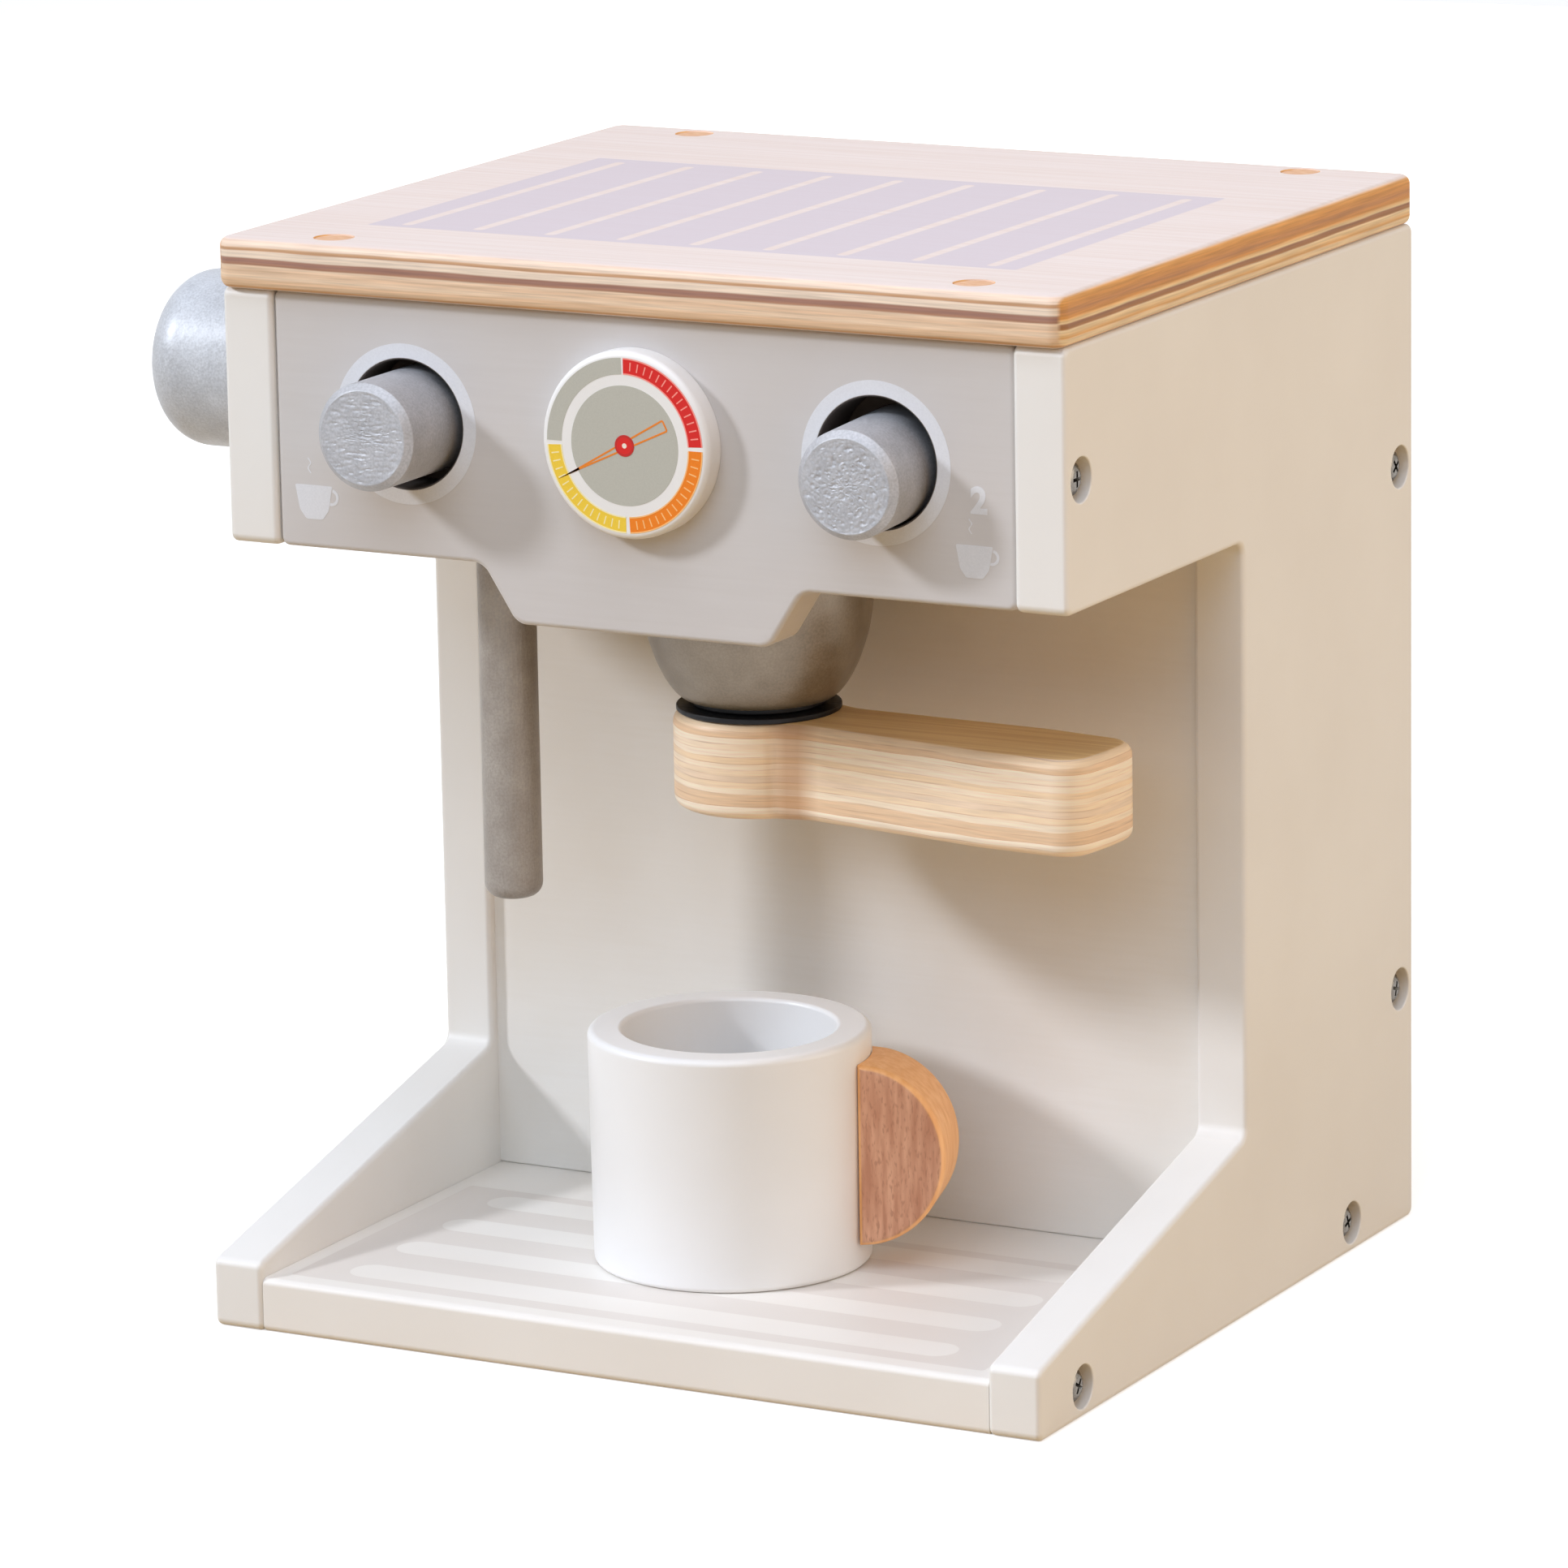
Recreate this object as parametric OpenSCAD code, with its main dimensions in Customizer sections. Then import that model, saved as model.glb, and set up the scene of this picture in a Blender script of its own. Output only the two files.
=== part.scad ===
// Toy coffee maker in painted board and beech, with a cup and a paddle-shaped filter holder.
// Millimetres, +Z up, the front faces -Y. The origin is on the underside of the base board,
// in the middle of the footprint.

/* [Body] */
// Width over the two side panels
body_w = 200; // [190:1:220]
// Depth of the head and column, front edge to back
head_d = 172.5; // [165:0.5:185]
// Height of the side panels
panel_h = 226; // [220:1:240]
// Thickness of every painted board
board_t = 12; // [12:0.5:13]
// How far the feet reach ahead of the head
foot_reach = 16.5; // [10:0.5:30]
// Height of the front end of a foot
nose_h = 15.3; // [14:0.1:20]
// Height at which the sloping foot meets the column
foot_top_h = 40; // [34:1:60]
// Depth of the bay, from the front of the head to the column
bay_d = 84.5; // [82:0.5:90]
// Height of the underside of the head
head_z = 170.6; // [168:0.2:174]
// Radius of the eased edges of the boards
ease_r = 1.2; // [0.6:0.1:1.6]

/* [Top board] */
// Thickness of the plywood top
top_t = 11; // [9:0.5:14]
// Overhang of the top ahead of the head
top_lip = 2.2; // [0:0.1:4]
// Radius of the top's eased edges
top_ease_r = 2; // [1:0.1:3]
// Distance between the two screws of a row
top_screw_span = 152; // [148:1:156]

/* [Front] */
// How far the front stands behind the edges of the side panels
front_inset = 1; // [0.5:0.1:3]
// Half width of the bulge at its lower edge
bulge_half = 30.3; // [26:0.1:34]
// Depth of the bulge below the front's lower edge
bulge_drop = 12.5; // [8:0.5:14]
// Height of the buttons and the gauge
button_z = 199.2; // [198:0.2:200]
// Distance of each button from the middle
button_x = 56; // [54:0.5:57]

/* [Buttons] */
// Diameter of a button
button_dia = 23.2; // [20:0.1:24]
// Gap all round between a button and its hole
button_gap = 2.2; // [2:0.1:2.6]
// How far the left button stands out of the front
left_proud = 17.7; // [12:0.1:20]
// How far the right button stands out of the front
right_proud = 13.7; // [12:0.1:20]
// How far the loose right button hangs down at its tip, in degrees
right_droop = 2.6; // [0:0.1:2.8]

/* [Gauge] */
// Diameter of the gauge
gauge_dia = 39.8; // [34:0.2:44]
// Thickness of the gauge
gauge_t = 5.3; // [4:0.1:8]

/* [Group and filter holder] */
// Distance of the group's axis behind the front of the head
group_back = 52; // [50:0.5:54]
// Diameter of the group where it meets the head
group_dia = 50.6; // [46:0.2:54]
// Height of the flat under the group
group_low_z = 135.2; // [134.8:0.2:137]
// Height of the top of the filter holder
holder_z = 132.7; // [131:0.1:133.2]
// Thickness of the filter holder
holder_t = 21; // [16:0.5:22]
// Radius of the filter holder's round head
holder_head_r = 18.6; // [18:0.1:20]
// Reach of the filter holder from the group's axis
holder_reach = 89.5; // [80:0.5:94]
// Turn of the filter holder towards the front, in degrees
holder_turn = 5.5; // [0:0.5:10]

/* [Wand] */
// Diameter of the steam wand
wand_dia = 12.8; // [11:0.1:14]
// Distance of the wand to the left of the middle
wand_x = 61; // [56:0.5:64]
// Height of the lower end of the wand
wand_low_z = 85.3; // [80:0.5:100]

/* [Side knob] */
// Diameter of the side knob
knob_dia = 38.8; // [34:0.2:40]
// Length of the side knob
knob_len = 33.3; // [26:0.1:36]
// Height of the side knob
knob_z = 203.2; // [200:0.2:204]
// Distance of the side knob behind the front of the head
knob_back = 36; // [34:0.5:44]

/* [Cup] */
// Outside diameter of the cup
cup_dia = 61.6; // [56:0.2:64]
// Inside diameter of the cup
cup_bore = 46.6; // [42:0.2:50]
// Height of the cup
cup_h = 51.8; // [46:0.2:54]
// Place of the cup's axis, to the left of the middle
cup_x = 3.9; // [0:0.1:8]
// Place of the cup's axis, behind the front of the head
cup_back = 43; // [40:0.5:46]
// Turn of the cup's handle towards the back, in degrees
cup_turn = 16.5; // [0:0.5:40]
// Radius of the half-round cup handle
grip_r = 20.2; // [16:0.2:22]
// Thickness of the cup handle
grip_t = 18.4; // [12:0.2:20]

/* [Hidden] */

$fn = 64;

// How far a cutter runs past the faces that it opens
cut = 1;

// Places of the boards
inner_x = body_w / 2 - board_t;
rear_y = (head_d + foot_reach) / 2;
front_y = rear_y - head_d;
foot_y = front_y - foot_reach;
column_y = front_y + bay_d;
front_board_y = front_y + front_inset;
front_board_back_y = front_board_y + board_t;
rear_board_y = rear_y - board_t;
bay_board_set_back = 2.5;
bay_board_y = column_y + bay_board_set_back;
bay_board_t = 9;
housing = 3;
floor_board_t = 9;
floor_board_lift = 1.4;
floor_board_z = head_z + floor_board_lift;
floor_board_top_z = floor_board_z + floor_board_t;
base_set_back = 0.6;
top_over = 0.3;

// Rounded corners of the boards' outlines; each is larger than the easing of the same board
corner_r = ease_r + 0.8;
top_corner_r = top_ease_r + 1.5;
inner_corner_r = 3;
bulge_corner_r = 4;
bulge_slant = 8;
face_edge_r = 1.5;
glued_edge_r = 0.5;

// Wood screws that hold the boards
shank_r = 1.75;
side_hole_r = 4.75;
side_hole_depth = 3.2;
side_screw_len = 25;
clear_r = 2.1;
screw_head_r = 3.7;
screw_head_h = 2.2;
front_screw_y = front_board_y + board_t / 2;
rear_screw_y = rear_y - board_t / 2 - 1;
foot_screw_z = board_t / 2 + 0.6;
side_screw_places = [
    [front_screw_y, 198],
    [rear_screw_y, 172.7],
    [rear_screw_y, 54],
    [rear_y - 33.2, foot_screw_z],
    [front_y + 3.9, foot_screw_z]
];
plug_r = 4.35;
plug_t = 5.2;
plug_recess = 0.3;
top_hole_floor_z = panel_h + 3;
top_screw_len = 26;
top_screw_y = [front_screw_y, rear_screw_y];

// Buttons, their guide rail and springs
button_r = button_dia / 2;
button_hole_r = button_r + button_gap;
stop_r = 16;
stop_t = 4;
stem_r = 4;
stem_gap = 0.6;
spring_room = 23;
rail_y = front_board_back_y + spring_room;
rail_mid_y = rail_y + board_t / 2;
rail_half = 76;
rail_rise = 13;
rail_top_z = button_z + rail_rise;
stem_tail = 2;
stop_front_y = front_board_back_y + 0.2;
button_ease = 1.5;
wire_r = 0.6;
coil_r = 7;
coil_turns = 5;
coil_rings = 8;
coil_sides = 6;
seat_gap = 0.05;

// Gauge, group, filter holder and wand
gauge_z = button_z + 0.4;
gauge_ease = 1.4;
gauge_peg_r = 4;
gauge_peg_len = 8;
group_y = front_y + group_back;
bowl_lip_r = 15.2;
bowl_straight_h = 22.8;
magnet_r = 14.4;
bowl_pilot = 14;
magnet_seat_z = group_low_z + 3;
magnet_play = 0.05;
glue_gap = 0.02;
disc_r = 17.9;
disc_t = 1.2;
disc_ease = 0.3;
holder_screw_r = 1.5;
holder_screw_head_r = 3.4;
holder_screw_len = 15;
neck_angle = 46;
neck_x = 19;
neck_half = 11.4;
flare_x = holder_reach - 24;
flare_half = 14.4;
tip_x = holder_reach - 1.6;
tip_half = 13.4;
paddle_ease_r = 2.6;
wand_r = wand_dia / 2;
wand_y = front_y + 50;
wand_socket = 8;
wand_round_r = 3;

// Side knob
knob_r = knob_dia / 2;
knob_y = front_y + knob_back;
knob_fillet = 9.4;
knob_gap = 0.4;
knob_foot_ease = 0.8;
axle_r = 4;
axle_fit = 0.05;
lock_ring_r = 9;
lock_ring_t = 6;
axle_tail = 2;

// Cup
cup_y = front_y + cup_back;
cup_r = cup_dia / 2;
cup_floor_t = 9;
cup_floor_r = 6;
cup_taper = 0.5;
cup_foot_r = cup_r - cup_taper;
cup_foot_ring = 3;
rim_r = 1.6;
bore_rim_r = 1;
peg_r = 4;
peg_wall = 2.5;
peg_in_grip = 11;
grip_bite = 1.2;
grip_flatness = 0.95;
grip_ease_r = 1.6;
grip_tip_r = 1.2;
grip_bow_r = 4;

// ---- Outlines -------------------------------------------------------------------------

// Unit vector of v
function unit(v) = v / norm(v);

// Points of the arc that rounds corner p of an outline, seen from its neighbours a and b
function corner_arc(a, p, b, r, steps) =
    let (
        u = unit(a - p),
        v = unit(b - p),
        half = acos(u * v) / 2,
        start = p + u * r / tan(half),
        finish = p + v * r / tan(half),
        centre = p + unit(u + v) * r / sin(half),
        from = atan2(start[1] - centre[1], start[0] - centre[0]),
        to = atan2(finish[1] - centre[1], finish[0] - centre[0]),
        raw = to - from,
        sweep = raw > 180 ? raw - 360 : raw < -180 ? raw + 360 : raw
    )
    [for (i = [0 : steps]) centre + r * [cos(from + sweep * i / steps), sin(from + sweep * i / steps)]];

// An outline given as [x, y, corner radius] points, with its corners rounded
function rounded(corners, steps = 4) =
    let (n = len(corners), xy = [for (c = corners) [c[0], c[1]]])
    [for (i = [0 : n - 1])
        each corner_arc(xy[(i + n - 1) % n], xy[i], xy[(i + 1) % n], corners[i][2], steps)];

// The outline moved inwards by d; the points run anticlockwise
function inset(pts, d) =
    let (n = len(pts))
    [for (i = [0 : n - 1])
        let (
            before = unit(pts[i] - pts[(i + n - 1) % n]),
            after = unit(pts[(i + 1) % n] - pts[i]),
            left = [-before[1], before[0]],
            mid = unit([-before[1] - after[1], before[0] + after[0]])
        )
        pts[i] + mid * d / (mid * left)];

// Twice the area of triangle abc, positive where it runs anticlockwise
function turn_of(a, b, c) = (b[0] - a[0]) * (c[1] - a[1]) - (b[1] - a[1]) * (c[0] - a[0]);

// Whether corner i of the outline left in idx can be cut off as a triangle that holds no other point
function is_ear(pts, idx, i) =
    let (n = len(idx), ia = idx[(i + n - 1) % n], ib = idx[i], ic = idx[(i + 1) % n],
        a = pts[ia], b = pts[ib], c = pts[ic])
    turn_of(a, b, c) > 1e-7 && len([for (k = idx)
        let (p = pts[k])
        if (k != ia && k != ib && k != ic && turn_of(a, b, p) > -1e-9 && turn_of(b, c, p) > -1e-9
            && turn_of(c, a, p) > -1e-9) k]) == 0;

// Triangles that fill an outline, cut off one corner at a time, so that a notch stays open
function triangles(pts, idx) =
    len(idx) == 3 ? [idx] :
    let (n = len(idx), i = [for (k = [0 : n - 1]) if (is_ear(pts, idx, k)) k][0])
    concat([[idx[(i + n - 1) % n], idx[i], idx[(i + 1) % n]]],
        triangles(pts, [for (k = [0 : n - 1]) if (k != i) idx[k]]));

// A board of this outline and thickness, lofted with its edges eased to radius r
module eased_board(pts, t, r, steps = 2) {
    n = len(pts);
    rise = [for (k = [0 : steps]) [r * (1 - sin(90 * k / steps)), r * (1 - cos(90 * k / steps))]];
    rings = concat(
        [for (k = [0 : steps]) [rise[k][0], rise[k][1]]],
        [for (k = [steps : -1 : 0]) [rise[k][0], t - rise[k][1]]]
    );
    points = [for (ring = rings) each [for (p = inset(pts, ring[0])) [p[0], p[1], ring[1]]]];
    last = (len(rings) - 1) * n;
    walls = [for (j = [0 : len(rings) - 2], i = [0 : n - 1], half = [0, 1])
        let (a = j * n + i, b = j * n + (i + 1) % n)
        half == 0 ? [a, b + n, b] : [a, a + n, b + n]];
    cap = triangles(inset(pts, r), [for (i = [0 : n - 1]) i]);
    roof = [for (f = cap) [f[2] + last, f[1] + last, f[0] + last]];
    polyhedron(points, concat(cap, walls, roof));
}

// Stands a flat XY outline up in the YZ plane, its thickness running along +X
module upright_yz() rotate([90, 0, 90]) children();

// Stands a flat XY outline up in the XZ plane, its thickness running along -Y
module upright_xz() rotate([90, 0, 0]) children();

// A rod or bore along +X from x
module rod_x(x, y, z, r, len) translate([x, y, z]) rotate([0, 90, 0]) cylinder(r = r, h = len);

// A rod or bore along +Y from y
module rod_y(x, y, z, r, len) translate([x, y, z]) rotate([-90, 0, 0]) cylinder(r = r, h = len);

// A turned piece on the Z axis, from its half profile
module turned(profile) rotate_extrude() polygon(profile);

// Points of a quarter round from angle a to angle b about centre c
function quarter(c, r, a, b, steps = 6) =
    [for (i = [0 : steps]) c + r * [cos(a + (b - a) * i / steps), sin(a + (b - a) * i / steps)]];

// ---- Boards ---------------------------------------------------------------------------

// Side panel seen from the right: head, column and sloping foot
side_outline = rounded([
    [foot_y, 0, corner_r], [rear_y, 0, corner_r], [rear_y, panel_h, corner_r],
    [front_y, panel_h, corner_r], [front_y, head_z, corner_r], [column_y, head_z, inner_corner_r],
    [column_y, foot_top_h, inner_corner_r], [foot_y, nose_h, corner_r]
]);

// One side panel lying at x from 0 to board_t, with its screw holes opening at outer_x
module side_panel(outer_x, inward) {
    groove_x = outer_x == 0 ? board_t - housing : 0;
    difference() {
        upright_yz() eased_board(side_outline, board_t, ease_r);
        translate([groove_x, bay_board_y, board_t]) cube([housing, bay_board_t, panel_h - board_t + 1]);
        translate([groove_x, front_board_back_y, floor_board_z])
            cube([housing, bay_board_y - front_board_back_y, floor_board_t]);
        for (place = side_screw_places) {
            rod_x(-cut, place[0], place[1], clear_r, board_t + 2 * cut);
            rod_x(outer_x - (inward > 0 ? cut : side_hole_depth), place[0], place[1],
                side_hole_r, side_hole_depth + cut);
        }
    }
}

module left_side_panel() color("#F0EAE2") difference() {
    translate([-body_w / 2, 0, 0]) side_panel(0, 1);
    rod_x(-body_w / 2 - cut, knob_y, knob_z, axle_r + axle_fit, board_t + 2 * cut);
}

module right_side_panel() color("#F0EAE2") translate([inner_x, 0, 0]) side_panel(board_t, -1);

// Blind pilot holes in the edge of a board for the side screws listed by index
module side_pilots(indices) for (i = indices, side = [-1, 1])
    let (place = side_screw_places[i], x = side > 0 ? body_w / 2 - side_hole_depth - side_screw_len
        : -body_w / 2 + side_hole_depth)
    rod_x(x, place[0], place[1], shank_r, side_screw_len);

// A board that runs from one side panel to the other, from its cross-section in Y and Z
module cross_board(profile)
    translate([-inner_x, 0, 0]) upright_yz() linear_extrude(2 * inner_x) polygon(profile);

// The base board's cross-section, its two front edges rounded
base_profile = rounded([
    [foot_y + base_set_back, 0, face_edge_r], [rear_board_y, 0, glued_edge_r],
    [rear_board_y, board_t, glued_edge_r], [foot_y + base_set_back, board_t, face_edge_r]
]);

module base_board() color("#EFE9E2") difference() {
    cross_board(base_profile);
    side_pilots([3, 4]);
}

module bay_back_board() color("#EFE9E2")
    translate([-inner_x - housing, bay_board_y, board_t])
        cube([2 * (inner_x + housing), bay_board_t, panel_h - board_t]);

// The rear board's cross-section, its lower outer edge rounded
rear_profile = rounded([
    [rear_board_y, 0, glued_edge_r], [rear_y, 0, face_edge_r], [rear_y, panel_h, glued_edge_r],
    [rear_board_y, panel_h, glued_edge_r]
]);

module rear_board() color("#EFE9E2") difference() {
    cross_board(rear_profile);
    side_pilots([1, 2]);
    top_pilots(top_screw_y[1]);
}

// Front board outline with the bulge over the group
front_outline = rounded([
    [-inner_x, head_z, corner_r], [-bulge_half - bulge_slant, head_z, bulge_corner_r],
    [-bulge_half, head_z - bulge_drop, bulge_corner_r], [bulge_half, head_z - bulge_drop, bulge_corner_r],
    [bulge_half + bulge_slant, head_z, bulge_corner_r], [inner_x, head_z, corner_r],
    [inner_x, panel_h, corner_r], [-inner_x, panel_h, corner_r]
]);

module front_board() color("#C4BEBB") difference() {
    translate([0, front_board_back_y, 0]) upright_xz() eased_board(front_outline, board_t, ease_r);
    for (side = [-1, 1])
        rod_y(side * button_x, front_board_y - cut, button_z, button_hole_r, board_t + 2 * cut);
    rod_y(0, front_board_y - cut, gauge_z, gauge_peg_r, gauge_peg_len + cut);
    side_pilots([0]);
    top_pilots(top_screw_y[0]);
}

// Board that closes the head from below and carries the group and the wand
module head_floor_board() color("#E6DED4") difference() {
    translate([-inner_x - housing, front_board_back_y, floor_board_z])
        cube([2 * (inner_x + housing), bay_board_y - front_board_back_y, floor_board_t]);
    translate([0, group_y, floor_board_z - cut]) cylinder(r = shank_r, h = floor_board_t + 2 * cut);
    translate([-wand_x, wand_y, floor_board_z - cut]) cylinder(r = wand_r, h = wand_socket + cut);
}

top_outline = rounded([
    [-body_w / 2 - top_over, front_y - top_lip, top_corner_r],
    [body_w / 2 + top_over, front_y - top_lip, top_corner_r],
    [body_w / 2 + top_over, rear_y + top_over, top_corner_r],
    [-body_w / 2 - top_over, rear_y + top_over, top_corner_r]
]);

// Pilot holes down into the boards under the top screws of one row
module top_pilots(y) for (side = [-1, 1])
    translate([side * top_screw_span / 2, y, top_hole_floor_z - top_screw_len])
        cylinder(r = shank_r, h = top_screw_len);

// Does the same thing at each of the four top screws
module at_top_screws() for (side = [-1, 1], y = top_screw_y)
    translate([side * top_screw_span / 2, y, top_hole_floor_z]) children();

module top_board() color("#E3C9A8") difference() {
    translate([0, 0, panel_h]) eased_board(top_outline, top_t, top_ease_r);
    at_top_screws() {
        cylinder(r = plug_r, h = top_t);
        translate([0, 0, -board_t]) cylinder(r = shank_r, h = board_t);
    }
}

// ---- Fasteners ------------------------------------------------------------------------

// A cross-head wood screw whose head stands on z = 0 and whose shank runs down
module wood_screw(len, head_r = screw_head_r, r = shank_r) difference() {
    turned(concat(
        [[0, -len], [r * 0.3, -len], [r, -len + 3 * r], [r, 0], [head_r, 0], [head_r, screw_head_h * 0.5]],
        [[head_r * 0.72, screw_head_h * 0.92], [0, screw_head_h]]
    ));
    for (turn = [0, 90]) rotate([0, 0, turn])
        translate([-head_r * 0.55, -head_r * 0.1, screw_head_h * 0.4]) cube([head_r * 1.1, head_r * 0.2, 3]);
}

module side_screws(side) color("#B9B6B0") for (place = side_screw_places)
    translate([side * (body_w / 2 - side_hole_depth), place[0], place[1]])
        rotate([0, side * 90, 0]) wood_screw(side_screw_len);

module left_side_screws() side_screws(-1);
module right_side_screws() side_screws(1);

module top_screws() color("#B9B6B0") at_top_screws() wood_screw(top_screw_len);

module top_plugs() color("#C98F5A") at_top_screws()
    translate([0, 0, top_t + panel_h - top_hole_floor_z - plug_recess - plug_t])
        cylinder(r = plug_r, h = plug_t);

// ---- Front fittings -------------------------------------------------------------------

// Gauge disc with an eased rim and a peg glued into the front board
gauge_profile = concat(
    [[0, -gauge_peg_len], [gauge_peg_r, -gauge_peg_len], [gauge_peg_r, 0], [gauge_dia / 2, 0]],
    quarter([gauge_dia / 2 - gauge_ease, gauge_t - gauge_ease], gauge_ease, 0, 90), [[0, gauge_t]]
);

module gauge_disc() color("#F2F0ED")
    translate([0, front_board_y, gauge_z]) rotate([90, 0, 0]) turned(gauge_profile);

// Places a button's pieces: a frame on the rail's bore, turned down by droop degrees
module button_frame(side, droop)
    translate([side * button_x, rail_mid_y, button_z]) rotate([droop, 0, 0]) rotate([-90, 0, 0]) children();

// Front of the stop ring in a button's frame: a drooping ring leans, so it stands further back
function stop_front(droop) = stop_front_y - rail_mid_y + stop_r * sin(droop);

// A button: chamfered dowel, and a thinner stem that runs back through the rail
module button(proud, droop) {
    tip = front_board_y - proud - rail_mid_y;
    shoulder = stop_front(droop);
    turned([
        [0, tip], [button_r - button_ease, tip], [button_r, tip + button_ease], [button_r, shoulder],
        [stem_r, shoulder], [stem_r, board_t / 2 + stem_tail], [0, board_t / 2 + stem_tail]
    ]);
}

module left_button() color("#BFC1C4") button_frame(-1, 0) button(left_proud, 0);
module right_button() color("#BFC1C4") button_frame(1, right_droop) button(right_proud, right_droop);

// Ring behind the front board that keeps a button from coming out
module button_stop(droop) translate([0, 0, stop_front(droop)]) difference() {
    cylinder(r = stop_r, h = stop_t);
    translate([0, 0, -cut]) cylinder(r = stem_r, h = stop_t + 2 * cut);
}

module left_button_stop() color("#C89A66") button_frame(-1, 0) button_stop(0);
module right_button_stop() color("#C89A66") button_frame(1, right_droop) button_stop(right_droop);

// A coil spring as one unbroken tube about the Z axis, its ends run flat onto the seats
module coil_spring(z0, z1) {
    count = coil_turns * coil_rings;
    low = z0 + wire_r + seat_gap;
    rise = z1 - z0 - 2 * (wire_r + seat_gap);
    path = [for (i = [0 : count])
        let (s = i / count, climb = s < 0.1 ? 0 : s > 0.9 ? 1 : (s - 0.1) / 0.8)
        [coil_r * cos(360 * coil_turns * s), coil_r * sin(360 * coil_turns * s), low + rise * climb]];
    points = [for (i = [0 : count])
        let (a = 360 * coil_turns * i / count, out = [cos(a), sin(a), 0])
        each [for (k = [0 : coil_sides - 1])
            path[i] + wire_r * (out * cos(360 * k / coil_sides) + [0, 0, 1] * sin(360 * k / coil_sides))]];
    skin = [for (i = [0 : count - 1], k = [0 : coil_sides - 1], half = [0, 1])
        let (a = i * coil_sides + k, b = i * coil_sides + (k + 1) % coil_sides)
        half == 0 ? [a, b, b + coil_sides] : [a, b + coil_sides, a + coil_sides]];
    caps = [for (k = [1 : coil_sides - 2], half = [0, 1])
        half == 0 ? [0, k + 1, k] : [count * coil_sides, count * coil_sides + k, count * coil_sides + k + 1]];
    polyhedron(points, concat(skin, caps));
}

module left_button_spring() color("#9EA2A6") button_frame(-1, 0)
    coil_spring(stop_front(0) + stop_t, rail_y - rail_mid_y);
module right_button_spring() color("#9EA2A6") button_frame(1, right_droop)
    coil_spring(stop_front(right_droop) + stop_t, rail_y - rail_mid_y - (coil_r + wire_r) * sin(right_droop));

// Rail glued down on the head's floor, bored to guide the two stems
module button_rail() color("#D9C09A") difference() {
    translate([-rail_half, rail_y, floor_board_top_z])
        cube([2 * rail_half, board_t, rail_top_z - floor_board_top_z]);
    for (side = [-1, 1])
        rod_y(side * button_x, rail_y - cut, button_z, stem_r + stem_gap, board_t + 2 * cut);
}

// ---- Group, filter holder and wand ----------------------------------------------------

// The bowl's rounded wall, as its radius at heights above its flat
bowl_wall = [[24, 14.3], [22, 8.3], [19.7, 3.7], [17.6, 1.2], [16.3, 0.3]];

// Turned bowl under the head, with a seat bored for the magnet and a pilot for its screw
bowl_profile = concat(
    [[0, floor_board_z], [group_dia / 2, floor_board_z], [group_dia / 2, group_low_z + bowl_straight_h]],
    [for (w = bowl_wall) [w[0], group_low_z + w[1]]],
    [[bowl_lip_r, group_low_z], [magnet_r + magnet_play, group_low_z]],
    [[magnet_r + magnet_play, magnet_seat_z], [0, magnet_seat_z]]
);

module group_bowl() color("#B4B6B9") translate([0, group_y, 0]) difference() {
    turned(bowl_profile);
    translate([0, 0, floor_board_z - bowl_pilot]) cylinder(r = shank_r, h = bowl_pilot + cut);
}

// Screw from inside the head that holds the bowl
module group_screw() color("#B9B6B0")
    translate([0, group_y, floor_board_top_z]) wood_screw(floor_board_t + bowl_pilot);

// Black magnet that turns in its seat under the bowl
module group_magnet() color("#1E1D1F") translate([0, group_y, holder_z + disc_t + glue_gap])
    cylinder(r = magnet_r, h = magnet_seat_z - holder_z - disc_t - 2 * glue_gap);

// Filter holder seen from above: round head, drawn-in neck and flaring paddle
paddle_outline = concat(
    quarter([0, 0], holder_head_r, neck_angle, 360 - neck_angle, 20),
    rounded_run([
        [neck_x, -neck_half, 9], [flare_x, -flare_half, 40], [tip_x, -tip_half, 7], [holder_reach, 0, 60],
        [tip_x, tip_half, 7], [flare_x, flare_half, 40], [neck_x, neck_half, 9]
    ], on_head(-neck_angle), on_head(neck_angle))
);

// Point on the holder's round head at an angle
function on_head(angle) = holder_head_r * [cos(angle), sin(angle)];

// Rounded corners of an open run of points between two end points
function rounded_run(corners, first, final, steps = 4) =
    let (n = len(corners), xy = concat([first], [for (c = corners) [c[0], c[1]]], [final]))
    [for (i = [0 : n - 1]) each corner_arc(xy[i], xy[i + 1], xy[i + 2], corners[i][2], steps)];

// Places the filter holder's pieces on the group's axis
module holder_frame() translate([0, group_y, holder_z]) rotate([0, 0, -holder_turn]) children();

// Half profile of the countersunk screw in the disc, its top at z = top
function countersunk(top) = [
    [0, disc_t - holder_screw_len], [holder_screw_r, disc_t - holder_screw_len + 2],
    [holder_screw_r, disc_t - holder_screw_head_r + holder_screw_r], [holder_screw_head_r, disc_t],
    [holder_screw_head_r, top], [0, top]
];

module holder_paddle() color("#E0B584") holder_frame() difference() {
    translate([0, 0, -holder_t]) eased_board(paddle_outline, holder_t, paddle_ease_r, 3);
    turned(countersunk(disc_t + cut));
}

// Black steel disc that the magnet holds
module holder_disc() color("#232224") holder_frame() difference() {
    turned([
        [0, 0], [disc_r - disc_ease, 0], [disc_r, disc_ease], [disc_r, disc_t - disc_ease],
        [disc_r - disc_ease, disc_t], [0, disc_t]
    ]);
    turned(countersunk(disc_t + cut));
}

module holder_screw() color("#8D8F92") holder_frame() turned(countersunk(disc_t));

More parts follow.
